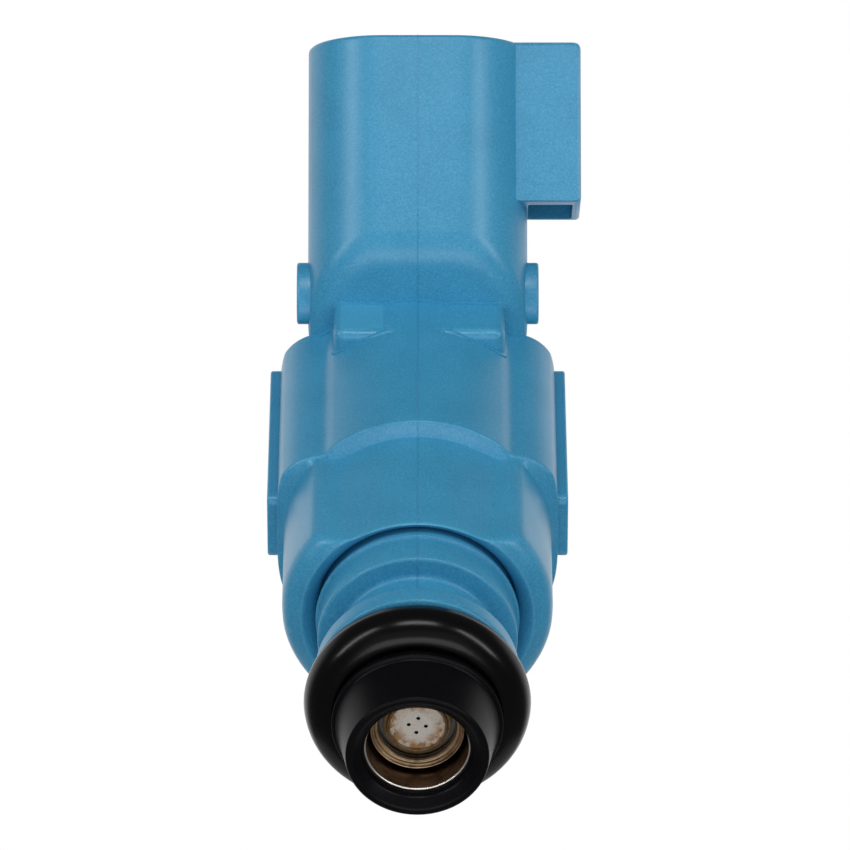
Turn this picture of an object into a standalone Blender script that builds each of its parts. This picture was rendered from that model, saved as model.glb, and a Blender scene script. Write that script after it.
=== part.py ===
"""Port fuel injector, built as the separate pieces that it is assembled from.

The spray axis runs along Y: the nozzle points to -Y, the fuel inlet to +Y, and the plug socket leans
over the top, to +Z. The origin is the centre of the lower O-ring, where the injector seats in its port.
Lengths are in metres. Each piece is one object with its own material.
"""

import math

import bmesh
import bpy
from mathutils import Matrix, Vector

for old in list(bpy.data.objects):
    bpy.data.objects.remove(old, do_unlink=True)

MM = 0.001

# --- clearances -------------------------------------------------------------------------------------
gap = 0.25 * MM  # between pieces that rest on or pass through each other
seal_gap = 0.15 * MM  # between an O-ring and the steel that it grips
run_gap = 0.2 * MM  # around the pieces that slide with the needle
seat_gap = 0.15 * MM  # between the closed ball and its seat

# --- seals ------------------------------------------------------------------------------------------
ring_spacing = 60.65 * MM  # lower O-ring centre to upper O-ring centre
ring_radius = 5.53 * MM  # axis to the centre of the cord
ring_cord = 1.765 * MM  # radius of the cord

# --- steel tubes on the axis ------------------------------------------------------------------------
tube_radius = ring_radius - ring_cord - seal_gap
passage_radius = tube_radius + gap  # whatever the tubes pass through
sleeve_wall = 0.34 * MM
sleeve_bore = tube_radius - sleeve_wall
insert_radius = sleeve_bore - gap  # seat, guide and plate holder, inside the sleeve
bridge_over_armature = 3.8 * MM  # the nonmagnetic ring spans the gap between armature and pole
bridge_over_pole = 0.85 * MM

# --- nozzle cap -------------------------------------------------------------------------------------
tip_length = 6.0 * MM  # lower O-ring centre to the front of the cap
cap_wall = 0.7 * MM  # at the front
cap_flange_rim = 0.6 * MM
cap_front_radius = passage_radius + cap_wall
cap_flange_radius = ring_radius - 0.04 * MM
cap_mouth_radius = sleeve_bore + 0.085 * MM
cap_mouth_depth = 0.9 * MM
cap_round = 0.35 * MM

# --- orifice plate, seat, ball and guide ------------------------------------------------------------
plate_depth = 3.5 * MM  # front of the cap to the front of the plate
plate_thickness = 0.2 * MM
plate_edge = 0.26 * MM  # flat outside the plate's rim
plate_rim_width = 0.2 * MM
plate_rim_height = 0.2 * MM
spray_hole_radius = 0.12 * MM
spray_circle_radius = 0.55 * MM
spray_turn = math.radians(6.5)
holder_wall = 0.56 * MM  # stepped ring that clamps the plate
holder_height = 0.75 * MM
seat_hole = 0.6 * MM
seat_hole_depth = 0.8 * MM
ball_radius = 1.5 * MM
guide_thickness = 1.3 * MM
guide_slot_width = 0.9 * MM
guide_slots = 4

# --- needle, armature, spring -----------------------------------------------------------------------
needle_radius = 1.3 * MM
needle_bore = 0.8 * MM
needle_length = 11.5 * MM
needle_in_armature = 1.8 * MM
armature_length = 7.0 * MM
armature_fuel_bore = 0.9 * MM
pole_gap = 0.35 * MM  # armature to pole face when the valve is shut
spring_radius = 1.15 * MM  # to the centre of the wire
spring_wire = 0.22 * MM
spring_turns = 8
spring_seat_depth = 2.4 * MM  # into the back of the armature
spring_in_pole = 7.0 * MM
adjuster_radius = 1.5 * MM
adjuster_bore = 0.95 * MM
adjuster_length = 9.0 * MM

# --- inlet tube and filter --------------------------------------------------------------------------
inlet_bore = 3.1 * MM
inlet_bore_depth = 22.0 * MM
inlet_lip_radius = 5.4 * MM
inlet_lip_height = 1.3 * MM
inlet_nose_radius = 4.7 * MM
inlet_nose_height = 1.6 * MM
filter_depth = 4.7 * MM  # end of the inlet tube to the filter's brass ring
filter_collar_height = 1.6 * MM
filter_collar_bore = 2.35 * MM
filter_length = 11.0 * MM
filter_rib_wall = 0.4 * MM
filter_windows = 3
filter_window_length = 6.4 * MM
filter_end_length = 1.2 * MM
mesh_wall = 0.15 * MM

# --- solenoid ---------------------------------------------------------------------------------------
coil_over_armature = 4.5 * MM
bobbin_length = 13.3 * MM
bobbin_wall = 0.45 * MM
bobbin_flange = 0.8 * MM
bobbin_lip = 0.35 * MM  # the flanges stand this far over the winding
winding_thickness = 0.75 * MM
yoke_wall = 0.65 * MM
yoke_end_wall = 1.2 * MM
washer_thickness = 1.4 * MM

# --- overmould: neck and clip grooves ---------------------------------------------------------------
neck_wall = 1.135 * MM  # plastic over the sleeve, at the bottom of a groove
flange_proud = 1.6 * MM
flange_width = 1.4 * MM
groove_width = 3.5 * MM
collar_proud = 1.5 * MM
collar_width = 2.7 * MM

# --- overmould: lower and upper body ----------------------------------------------------------------
shelf_height = 6.0 * MM  # flats over and under the sides of both bodies
lower_length = 9.7 * MM
lower_round = 1.49 * MM
coil_cover = 0.5 * MM  # plastic over the coil's can, at the front
dome_draft = 0.4 * MM  # the lower dome widens this much to the back
dome_step = 1.05 * MM
lower_side_proud = 1.17 * MM  # sides over the dome
upper_length = 15.5 * MM
upper_side_proud = 1.3 * MM
upper_flat_cut = 0.75 * MM  # taken off the upper body's sides
side_pad_proud = 0.65 * MM
side_pad_height = 4.8 * MM
side_pad_start = 0.8 * MM  # behind the step between the bodies
side_pad_overrun = 1.2 * MM  # past the back of the upper body
top_pad_half_width = 5.85 * MM
top_pad_drop = 0.2 * MM  # below the top of the dome
top_pad_length = 3.6 * MM
top_pad_setback = 0.4 * MM  # from the pad to the plug socket
top_pad_corner = 0.75 * MM

# --- overmould: inlet end ---------------------------------------------------------------------------
root_proud = 2.0 * MM  # over the bottom of a groove
root_length = 6.2 * MM
stem_proud = 1.0 * MM
stem_taper = 2.0 * MM
top_groove_width = 3.5 * MM
top_flange_width = 1.5 * MM
support_height = 0.9 * MM
support_proud = 0.3 * MM  # over the top flange

# --- overmould: plug socket -------------------------------------------------------------------------
plug_lean = math.radians(43.0)  # from straight up, back towards the inlet
plug_half_width = 7.4 * MM
plug_round = 5.0 * MM
plug_rim_setback = 13.4 * MM  # along the injector, from the upper body to the middle of the rim
plug_rim_height = 20.2 * MM
plug_depth = 22.0 * MM
plug_foot_height = 2.5 * MM
plug_wall = 1.1 * MM
plug_cavity_depth = 13.0 * MM
ear_proud = 0.75 * MM
ear_top = 14.7 * MM  # below the rim
ear_length = 4.2 * MM
ear_half_width = 1.3 * MM
latch_reach = 3.6 * MM  # out from the side of the socket
latch_front = 2.7 * MM
latch_back = 3.9 * MM
latch_length = 10.9 * MM
latch_wall = 0.55 * MM
latch_front_wall = 1.2 * MM
latch_corner = 0.7 * MM
latch_bar_drop = 2.0 * MM  # rim to the bar that the plug's latch hooks under
latch_bar_length = 2.2 * MM
latch_bar_thickness = 0.9 * MM

# --- terminals --------------------------------------------------------------------------------------
terminal_pitch = 4.8 * MM
terminal_width = 1.4 * MM
terminal_thickness = 0.6 * MM
terminal_tip_drop = 6.0 * MM  # rim to the tips of the blades
terminal_over_tube = 0.55 * MM
terminal_slot_gap = 0.6 * MM
terminal_bend_drop = 15.6 * MM  # rim to the bend, along the socket
terminal_knee = 4.3 * MM  # behind the coil, where the lead starts to rise

# --- facets -----------------------------------------------------------------------------------------
body_facets = 44
round_facets = 28
small_facets = 20
cord_facets = 12
socket_facets = 12
hole_facets = 12
corner_facets = 5

# --- places along the axis, each measured from the lower O-ring's centre ----------------------------
cap_front = -tip_length
sleeve_front = cap_front + cap_mouth_depth + gap
plate_front = cap_front + plate_depth
plate_back = plate_front + plate_thickness
seat_front = plate_back + gap
ball_centre = seat_front + seat_hole_depth + math.sqrt(2) * (ball_radius + seat_gap) - seat_hole
guide_front = ball_centre + math.sqrt(ball_radius**2 - needle_radius**2) + gap
seat_back = guide_front - gap
needle_front = ball_centre + math.sqrt(ball_radius**2 - needle_bore**2) + gap
needle_back = needle_front + needle_length
armature_front = needle_back - needle_in_armature
armature_back = armature_front + armature_length
pole_front = armature_back + pole_gap
bridge_front = armature_back - bridge_over_armature
bridge_back = pole_front + bridge_over_pole
sleeve_back = bridge_front - gap
tube_shoulder = bridge_back + gap
spring_front = armature_back - spring_seat_depth + gap
spring_back = pole_front + spring_in_pole - gap
adjuster_front = pole_front + spring_in_pole
coil_front = armature_back - coil_over_armature
coil_back = coil_front + bobbin_length
yoke_front = coil_front - gap - yoke_end_wall
washer_front = coil_back + gap
washer_back = washer_front + washer_thickness
neck_front = ring_cord + gap
groove_front = neck_front + flange_width
collar_front = groove_front + groove_width
lower_front = collar_front + collar_width
step = lower_front + lower_length
upper_back = step + upper_length
root_back = upper_back + root_length
stem_front = root_back + stem_taper
inlet_ring_front = ring_spacing - ring_cord
support_front = inlet_ring_front - gap - support_height
top_flange_back = support_front - gap
top_flange_front = top_flange_back - top_flange_width
top_groove_front = top_flange_front - top_groove_width
lip_front = ring_spacing + ring_cord + gap
nose_front = lip_front + inlet_lip_height
inlet_end = nose_front + inlet_nose_height
filter_top = inlet_end - filter_depth
filter_collar_front = filter_top - filter_collar_height
filter_cage_back = filter_collar_front - gap
filter_cage_front = filter_cage_back - filter_length

# --- radii that follow from their neighbours --------------------------------------------------------
holder_bore = insert_radius - holder_wall
plate_radius = holder_bore - gap
plate_rim_outer = plate_radius - plate_edge
plate_rim_inner = plate_rim_outer - plate_rim_width
winding_bore = passage_radius + bobbin_wall + gap
winding_radius = winding_bore + winding_thickness
bobbin_flange_radius = winding_radius + bobbin_lip
yoke_bore = bobbin_flange_radius + gap
yoke_radius = yoke_bore + yoke_wall
chamber_radius = yoke_radius + gap
armature_radius = sleeve_bore - run_gap
pole_bore = adjuster_radius + gap
groove_radius = passage_radius + neck_wall
flange_radius = groove_radius + flange_proud
collar_radius = groove_radius + collar_proud
lower_dome_front = chamber_radius + coil_cover
lower_dome_radius = lower_dome_front + dome_draft
lower_side_radius = lower_dome_radius + lower_side_proud
lower_front_radius = lower_side_radius - lower_round
upper_dome_radius = lower_dome_radius + dome_step
upper_side_radius = upper_dome_radius + upper_side_proud
upper_flat = upper_side_radius - upper_flat_cut  # half width
top_pad_height = upper_dome_radius - top_pad_drop
root_radius = groove_radius + root_proud
stem_radius = groove_radius + stem_proud
support_radius = flange_radius + support_proud
terminal_lead_height = passage_radius + terminal_over_tube + terminal_thickness / 2
washer_slot_half_width = (terminal_pitch + terminal_width) / 2 + terminal_slot_gap
washer_slot_floor = passage_radius + terminal_over_tube / 2

# --- the socket's own frame: X across, Y to its back, Z out of its rim ------------------------------
plug_rim = Vector((0.0, upper_back + plug_rim_setback, plug_rim_height))
plug_frame = Matrix.Translation(plug_rim) @ Matrix.Rotation(-plug_lean, 4, "X")


def finish(name, color, roughness, metallic=0.0):
    """A plain material of one colour."""
    material = bpy.data.materials.new(name)
    material.use_nodes = True
    shader = material.node_tree.nodes["Principled BSDF"]
    shader.inputs["Base Color"].default_value = (*color, 1.0)
    shader.inputs["Roughness"].default_value = roughness
    shader.inputs["Metallic"].default_value = metallic
    material.diffuse_color = (*color, 1.0)
    return material


def place(name, bm, material=None, smooth=True):
    """Closes a mesh, turns its faces outwards and puts it in the scene."""
    bmesh.ops.remove_doubles(bm, verts=bm.verts, dist=0.1e-6)
    bmesh.ops.recalc_face_normals(bm, faces=bm.faces)
    mesh = bpy.data.meshes.new(name)
    bm.to_mesh(mesh)
    bm.free()
    if smooth:
        mesh.shade_smooth()
        mesh.set_sharp_from_angle(angle=math.radians(35))
    made = bpy.data.objects.new(name, mesh)
    bpy.context.collection.objects.link(made)
    if material:
        mesh.materials.append(material)
    return made


def turned(name, outline, material=None, facets=round_facets, closed=True):
    """Turns an outline of (place along the axis, radius) points about the Y axis.

    A closed outline makes a ring, and an open one starts and ends on the axis."""
    bm = bmesh.new()
    points = [bm.verts.new((radius, along, 0.0)) for along, radius in outline]
    pairs = list(zip(points, points[1:] + points[:1]))
    edges = [bm.edges.new(pair) for pair in (pairs if closed else pairs[:-1])]
    bmesh.ops.spin(
        bm, geom=points + edges, axis=(0, 1, 0), cent=(0, 0, 0), angle=math.tau, steps=facets, use_merge=True
    )
    return place(name, bm, material)


def prism(name, outline, low, high, frame=Matrix(), material=None):
    """Extrudes a flat outline of (x, y) points from low to high along its Z, in the given frame."""
    bm = bmesh.new()
    face = bm.faces.new([bm.verts.new((x, y, low)) for x, y in outline])
    grown = bmesh.ops.extrude_face_region(bm, geom=[face])
    top = [v for v in grown["geom"] if isinstance(v, bmesh.types.BMVert)]
    bmesh.ops.translate(bm, verts=top, vec=(0, 0, high - low))
    bmesh.ops.transform(bm, verts=bm.verts, matrix=frame)
    return place(name, bm, material)


def block(name, low, high, frame=Matrix(), material=None):
    """A box between two corners, in the given frame."""
    outline = [(low[0], low[1]), (high[0], low[1]), (high[0], high[1]), (low[0], high[1])]
    return prism(name, outline, low[2], high[2], frame, material)


def corners(low, high, radius, facets=corner_facets):
    """A rectangle's outline with rounded corners."""
    turns = [
        (high[0] - radius, high[1] - radius, 0),
        (low[0] + radius, high[1] - radius, 1),
        (low[0] + radius, low[1] + radius, 2),
        (high[0] - radius, low[1] + radius, 3),
    ]
    angles = [math.pi / 2 * n / facets for n in range(facets + 1)]
    return [
        (x + radius * math.cos(quarter * math.pi / 2 + a), y + radius * math.sin(quarter * math.pi / 2 + a))
        for x, y, quarter in turns
        for a in angles
    ]


def racetrack(half_width, radius, facets=socket_facets):
    """An outline of two half circles joined by straight sides, along X."""
    outline = []
    for side in (1, -1):
        for n in range(facets + 1):
            angle = side * (math.pi * n / facets - math.pi / 2)
            x = side * (half_width - radius) + side * radius * math.cos(angle)
            outline.append((x, radius * math.sin(angle)))
    return outline


def combine(target, tool, operation):
    """Adds a live Boolean of a hidden tool to the target."""
    change = target.modifiers.new(tool.name, "BOOLEAN")
    change.operation = operation
    change.solver = "EXACT"
    change.object = tool
    tool.hide_render = True
    tool.display_type = "WIRE"
    return target


def ring_points(front, back, inner, outer):
    """The outline of a plain tube."""
    return [(front, inner), (front, outer), (back, outer), (back, inner)]


# === finishes =======================================================================================

blue_plastic = finish("blue_plastic", (0.052, 0.287, 0.515), 0.45)
black_plastic = finish("black_plastic", (0.012, 0.010, 0.014), 0.35)
rubber = finish("rubber", (0.009, 0.008, 0.011), 0.4)
steel = finish("steel", (0.56, 0.50, 0.42), 0.28, 1.0)
bright_steel = finish("bright_steel", (0.68, 0.66, 0.62), 0.2, 1.0)
plate_steel = finish("plate_steel", (0.58, 0.52, 0.42), 0.5, 0.6)
dark_steel = finish("dark_steel", (0.25, 0.25, 0.26), 0.4, 1.0)
spring_steel = finish("spring_steel", (0.45, 0.45, 0.46), 0.3, 1.0)
nonmagnetic_steel = finish("nonmagnetic_steel", (0.5, 0.5, 0.52), 0.3, 1.0)
bobbin_plastic = finish("bobbin_plastic", (0.06, 0.06, 0.06), 0.5)
copper = finish("copper", (0.72, 0.3, 0.12), 0.35, 1.0)
tinned_brass = finish("tinned_brass", (0.7, 0.66, 0.55), 0.25, 1.0)
brass = finish("brass", (0.72, 0.52, 0.2), 0.25, 1.0)
filter_plastic = finish("filter_plastic", (0.75, 0.73, 0.68), 0.5)
filter_cloth = finish("filter_cloth", (0.6, 0.6, 0.58), 0.6)

# === overmould ======================================================================================


def outer_barrel():
    """Everything round about the axis: neck, domes of both bodies, root and stem of the inlet end."""
    return turned(
        "overmould",
        [
            (neck_front, 0.0),
            (neck_front, flange_radius),
            (groove_front, flange_radius),
            (groove_front, groove_radius),
            (collar_front, groove_radius),
            (collar_front, collar_radius),
            (lower_front, collar_radius),
            (lower_front, lower_dome_front),
            (step, lower_dome_radius),
            (step, upper_dome_radius),
            (upper_back, upper_dome_radius),
            (upper_back, root_radius),
            (root_back, root_radius),
            (stem_front, stem_radius),
            (top_groove_front, stem_radius),
            (top_groove_front, groove_radius),
            (top_flange_front, groove_radius),
            (top_flange_front, flange_radius),
            (top_flange_back, flange_radius),
            (top_flange_back, 0.0),
        ],
        blue_plastic,
        body_facets,
        closed=False,
    )


def side_body(name, front, back, front_radius, radius, rounding, half_width):
    """The sides of one body: a round bar, rounded at the front, between flats above, below and beside."""
    arc = [
        (front + rounding * (1 - math.sin(a)), front_radius + (radius - front_radius) * math.cos(a))
        for a in [math.pi / 2 * (1 - n / corner_facets) for n in range(corner_facets + 1)]
    ]
    bar = turned(name, [(front, 0.0), *arc, (back, radius), (back, 0.0)], None, body_facets, closed=False)
    slab = block(
        name + "_slab",
        (-half_width, front - MM, -shelf_height),
        (half_width, back + MM, shelf_height),
    )
    return combine(bar, slab, "INTERSECT")


def socket_body():
    """The oval plug socket, cut off square where it stands on the end of the upper body."""
    shell = prism("socket_body", racetrack(plug_half_width, plug_round), -plug_depth, 0.0, plug_frame)
    keep = block(
        "socket_keep",
        (-2 * plug_half_width, upper_back - 0.01 * MM, plug_foot_height),
        (2 * plug_half_width, upper_back + 2 * plug_depth, 2 * plug_depth),
    )
    return combine(shell, keep, "INTERSECT")


def ear(side, label):
    """One of the two small bosses low on the socket's sides."""
    inner, outer = plug_half_width - plug_wall, plug_half_width + ear_proud
    low, high = sorted((side * inner, side * outer))
    bottom = -ear_top - ear_length
    return block("ear_" + label, (low, -ear_half_width, bottom), (high, ear_half_width, -ear_top), plug_frame)


def latch_box():
    """The box on the socket's side that takes the plug's latch, before it is hollowed."""
    low = (plug_half_width - plug_wall, -latch_front)
    high = (plug_half_width + latch_reach, latch_back)
    return prism("latch_box", corners(low, high, latch_corner), -latch_length, 0.0, plug_frame)


def latch_tunnel():
    """The hollow in the latch box, open at both ends."""
    low = (plug_half_width, -latch_front + latch_front_wall)
    high = (plug_half_width + latch_reach - latch_wall, latch_back - latch_wall)
    return block("latch_tunnel", (*low, -latch_length - MM), (*high, MM), plug_frame)


def latch_bar():
    """The bar across the tunnel that the latch hooks under."""
    low = (plug_half_width - MM / 2, latch_back - latch_wall - latch_bar_thickness, -latch_bar_drop)
    high = (plug_half_width + latch_reach - latch_wall / 2, latch_back - latch_wall / 2, 0.0)
    corner = (high[0], high[1], low[2])
    return block("latch_bar", (low[0], low[1], low[2] - latch_bar_length), corner, plug_frame)


def terminal(name, side, clearance=0.0, material=None):
    """A flat blade that rises behind the coil and bends up into the socket.

    With a clearance it is the pocket that the plastic leaves around it."""
    half = terminal_thickness / 2 + clearance
    axis = Vector((math.sin(plug_lean), math.cos(plug_lean)))
    rim = Vector((plug_rim.y, plug_rim.z))
    route = [
        Vector((washer_front - clearance, terminal_lead_height)),
        Vector((coil_back + terminal_knee, terminal_lead_height)),
        rim - axis * terminal_bend_drop,
        rim - axis * (terminal_tip_drop - clearance),
    ]
    runs = [(b - a).normalized() for a, b in zip(route, route[1:])]
    upper, lower = [], []
    for n, point in enumerate(route):
        before, after = runs[max(n - 1, 0)], runs[min(n, len(runs) - 1)]
        across = (Vector((-before.y, before.x)) + Vector((-after.y, after.x))).normalized()
        reach = half / across.dot(Vector((-before.y, before.x)))
        upper.append(point + across * reach)
        lower.append(point - across * reach)
    upright = Matrix(((0, 0, 1, 0), (1, 0, 0, 0), (0, 1, 0, 0), (0, 0, 0, 1)))
    middle = side * terminal_pitch / 2
    reach = terminal_width / 2 + clearance
    outline = [tuple(p) for p in upper + lower[::-1]]
    return prism(name, outline, middle - reach, middle + reach, upright, material)


def overmould():
    """The one-piece plastic body, moulded round the tubes and the coil."""
    body = outer_barrel()
    sides = [
        side_body(
            "lower_sides",
            lower_front,
            step + MM,
            lower_front_radius,
            lower_side_radius,
            lower_round,
            upper_flat,
        ),
        side_body("upper_sides", step, upper_back, upper_side_radius, upper_side_radius, 0.0, upper_flat),
    ]
    side_pads = block(
        "side_pads",
        (-upper_flat - side_pad_proud, step + side_pad_start, -side_pad_height / 2),
        (upper_flat + side_pad_proud, upper_back + side_pad_overrun, side_pad_height / 2),
    )
    pad_back = upper_back - top_pad_setback
    top_pad = prism(
        "top_pad",
        corners(
            (-top_pad_half_width, pad_back - top_pad_length), (top_pad_half_width, pad_back), top_pad_corner
        ),
        0.0,
        top_pad_height,
    )
    socket = combine(combine(socket_body(), ear(-1, "left"), "UNION"), ear(1, "right"), "UNION")
    for tool in (*sides, side_pads, top_pad, socket, latch_box()):
        combine(body, tool, "UNION")
    combine(body, latch_tunnel(), "DIFFERENCE")
    combine(body, latch_bar(), "UNION")
    cavity = racetrack(plug_half_width - plug_wall, plug_round - plug_wall)
    combine(body, prism("socket_cavity", cavity, -plug_cavity_depth, MM, plug_frame), "DIFFERENCE")
    for side, label in ((-1, "left"), (1, "right")):
        combine(body, terminal("pocket_" + label, side, gap), "DIFFERENCE")
    passage = turned(
        "passage",
        [
            (neck_front - MM, 0.0),
            (neck_front - MM, passage_radius),
            (yoke_front - gap, passage_radius),
            (yoke_front - gap, chamber_radius),
            (washer_back + gap, chamber_radius),
            (washer_back + gap, passage_radius),
            (top_flange_back + MM, passage_radius),
            (top_flange_back + MM, 0.0),
        ],
        None,
        body_facets,
        closed=False,
    )
    return combine(body, passage, "DIFFERENCE")


# === nozzle end =====================================================================================


def tip_cap():
    """The cap that holds the lower O-ring on the sleeve."""
    flange_back = -ring_cord - gap
    flange_front = flange_back - cap_flange_rim
    lip_back = cap_front + cap_mouth_depth
    front_flat = cap_front_radius - cap_round
    turned(
        "tip_cap",
        [
            (lip_back, cap_mouth_radius),
            (cap_front + 0.35 * cap_mouth_depth, (cap_mouth_radius + front_flat) / 2 - 0.1 * MM),
            (cap_front, front_flat - cap_round),
            (cap_front, front_flat),
            (cap_front + cap_round, cap_front_radius),
            (flange_front, (cap_front_radius + 3 * cap_flange_radius) / 4),
            (flange_front + cap_flange_rim / 4, cap_flange_radius),
            (flange_back, cap_flange_radius),
            (flange_back, passage_radius),
            (lip_back, passage_radius),
        ],
        black_plastic,
        body_facets,
    )


def o_ring(name, along):
    """A round cord bent to a ring about the axis."""
    outline = [
        (
            along + ring_cord * math.cos(math.tau * n / cord_facets),
            ring_radius + ring_cord * math.sin(math.tau * n / cord_facets),
        )
        for n in range(cord_facets)
    ]
    turned(name, outline, rubber, body_facets)


def valve_sleeve():
    outline = ring_points(sleeve_front, sleeve_back, sleeve_bore, tube_radius)
    turned("valve_sleeve", outline, steel, body_facets)


def plate_holder():
    """The stepped ring round the plate, with a chamfer up to the sleeve."""
    front = plate_back - holder_height
    chamfer = (insert_radius - holder_bore) / 2
    turned(
        "plate_holder",
        [
            (plate_back, holder_bore),
            (front + chamfer, holder_bore),
            (front + chamfer, insert_radius - chamfer),
            (front, insert_radius),
            (plate_back, insert_radius),
        ],
        bright_steel,
    )


def orifice_plate():
    """A thin disc with a low rim and its ring of spray holes."""
    plate = turned(
        "orifice_plate",
        [
            (plate_front, 0.0),
            (plate_front, plate_rim_inner),
            (plate_front - plate_rim_height, plate_rim_inner),
            (plate_front - plate_rim_height, plate_rim_outer),
            (plate_front, plate_rim_outer),
            (plate_front, plate_radius),
            (plate_back, plate_radius),
            (plate_back, 0.0),
        ],
        plate_steel,
        closed=False,
    )
    bm = bmesh.new()
    along_y = Matrix.Rotation(math.pi / 2, 4, "X")
    for n in range(4):
        turn = spray_turn + math.pi / 2 * n
        right, up = spray_circle_radius * math.sin(turn), spray_circle_radius * math.cos(turn)
        middle = Vector((right, plate_front, up))
        bmesh.ops.create_cone(
            bm,
            cap_ends=True,
            segments=hole_facets,
            radius1=spray_hole_radius,
            radius2=spray_hole_radius,
            depth=4 * plate_thickness,
            matrix=Matrix.Translation(middle) @ along_y,
        )
    combine(plate, place("spray_holes", bm), "DIFFERENCE")


def valve_seat():
    """The block with the conical seat, a pocket for the ball and the hole that feeds the plate."""
    pocket = ball_radius + run_gap
    cone_back = seat_front + seat_hole_depth + pocket - seat_hole
    turned(
        "valve_seat",
        [
            (seat_front, seat_hole),
            (seat_front, insert_radius),
            (seat_back, insert_radius),
            (seat_back, pocket),
            (cone_back, pocket),
            (seat_front + seat_hole_depth, seat_hole),
        ],
        dark_steel,
    )


def valve_ball():
    steps = small_facets // 2
    arc = [
        (
            ball_centre - ball_radius * math.cos(math.pi * n / steps),
            ball_radius * math.sin(math.pi * n / steps) * (0 < n < steps),
        )
        for n in range(steps + 1)
    ]
    turned("valve_ball", arc, bright_steel, small_facets, closed=False)


def needle_guide():
    """The ring that keeps the needle on the axis, slotted so that fuel flows past."""
    inner = needle_radius + run_gap
    back = guide_front + guide_thickness
    guide = turned("needle_guide", ring_points(guide_front, back, inner, insert_radius), dark_steel)
    for n in range(guide_slots):
        turn = Matrix.Rotation(math.tau * n / guide_slots, 4, "Y")
        low = (-guide_slot_width / 2, guide_front - MM, (inner + insert_radius) / 2)
        high = (guide_slot_width / 2, back + MM, insert_radius + MM)
        combine(guide, block(f"guide_slot_{n + 1}", low, high, turn), "DIFFERENCE")


# === needle and spring ==============================================================================


def needle_tube():
    turned(
        "needle_tube", ring_points(needle_front, needle_back, needle_bore, needle_radius), steel, small_facets
    )


def armature():
    """The iron slug that the coil pulls, with a socket for the needle and a seat for the spring."""
    socket = needle_radius + gap
    spring_seat = spring_radius + spring_wire + gap
    socket_back = needle_back + gap
    turned(
        "armature",
        [
            (armature_front, socket),
            (armature_front, armature_radius),
            (armature_back, armature_radius),
            (armature_back, spring_seat),
            (armature_back - spring_seat_depth, spring_seat),
            (armature_back - spring_seat_depth, armature_fuel_bore),
            (socket_back, armature_fuel_bore),
            (socket_back, socket),
        ],
        dark_steel,
    )


def return_spring():
    """A helix of round wire with flat caps."""
    steps_per_turn = 14
    wire_facets = 6
    steps = spring_turns * steps_per_turn
    first, last = spring_front + spring_wire, spring_back - spring_wire
    rise = (last - first) / steps
    bm = bmesh.new()
    rings = []
    for n in range(steps + 1):
        angle = math.tau * n / steps_per_turn
        out = Vector((math.cos(angle), 0, math.sin(angle)))
        centre = out * spring_radius + Vector((0, first + rise * n, 0))
        rings.append(
            [
                bm.verts.new(
                    centre
                    + out * spring_wire * math.cos(math.tau * k / wire_facets)
                    + Vector((0, spring_wire * math.sin(math.tau * k / wire_facets), 0))
                )
                for k in range(wire_facets)
            ]
        )
    for a, b in zip(rings, rings[1:]):
        for k in range(wire_facets):
            m = (k + 1) % wire_facets
            bm.faces.new((a[k], a[m], b[m], b[k]))
    bm.faces.new(rings[0])
    bm.faces.new(rings[-1])
    place("return_spring", bm, spring_steel)


def adjusting_sleeve():
    back = adjuster_front + adjuster_length
    turned(
        "adjusting_sleeve",
        ring_points(adjuster_front, back, adjuster_bore, adjuster_radius),
        brass,
        small_facets,
    )


# === inlet tube and filter ==========================================================================


def inlet_tube():
    """The long tube that is the magnet's pole at one end and the fuel inlet at the other."""
    spigot = sleeve_bore - gap
    bore_front = inlet_end - inlet_bore_depth
    taper = inlet_bore - pole_bore
    turned(
        "inlet_tube",
        [
            (pole_front, pole_bore),
            (pole_front, spigot),
            (tube_shoulder, spigot),
            (tube_shoulder, tube_radius),
            (lip_front, tube_radius),
            (lip_front, inlet_lip_radius),
            (nose_front, inlet_lip_radius),
            (inlet_end, inlet_nose_radius),
            (inlet_end, inlet_bore),
            (bore_front, inlet_bore),
            (bore_front - taper, pole_bore),
        ],
        steel,
        body_facets,
    )


def nonmagnetic_ring():
    turned(
        "nonmagnetic_ring",
        ring_points(bridge_front, bridge_back, sleeve_bore, tube_radius),
        nonmagnetic_steel,
    )


def inlet_filter():
    """A brass collar, the cage that hangs in it and the cloth inside the cage."""
    collar_radius_out = inlet_bore - gap
    turned(
        "filter_collar",
        ring_points(filter_collar_front, filter_top, filter_collar_bore, collar_radius_out),
        brass,
        small_facets,
    )
    cage_bore = filter_collar_bore - filter_rib_wall
    cage = turned(
        "filter_cage",
        [
            (filter_cage_front, 0.0),
            (filter_cage_front, filter_collar_bore),
            (filter_cage_back, filter_collar_bore),
            (filter_cage_back, cage_bore),
            (filter_cage_front + filter_end_length, cage_bore),
            (filter_cage_front + filter_end_length, 0.0),
        ],
        filter_plastic,
        small_facets,
        closed=False,
    )
    window_front = filter_cage_front + filter_end_length + gap
    for n in range(filter_windows):
        turn = Matrix.Rotation(math.tau * n / filter_windows, 4, "Y")
        low = (-cage_bore / 2, window_front, cage_bore / 2)
        high = (cage_bore / 2, window_front + filter_window_length, filter_collar_bore + MM)
        combine(cage, block(f"filter_window_{n + 1}", low, high, turn), "DIFFERENCE")
    cloth_radius = cage_bore - gap
    cloth_front = filter_cage_front + filter_end_length + gap
    turned(
        "filter_cloth",
        ring_points(cloth_front, filter_cage_back - gap, cloth_radius - mesh_wall, cloth_radius),
        filter_cloth,
        small_facets,
    )


def upper_support_ring():
    turned(
        "upper_support_ring",
        ring_points(support_front, support_front + support_height, passage_radius, support_radius),
        black_plastic,
        body_facets,
    )


# === solenoid =======================================================================================


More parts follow.
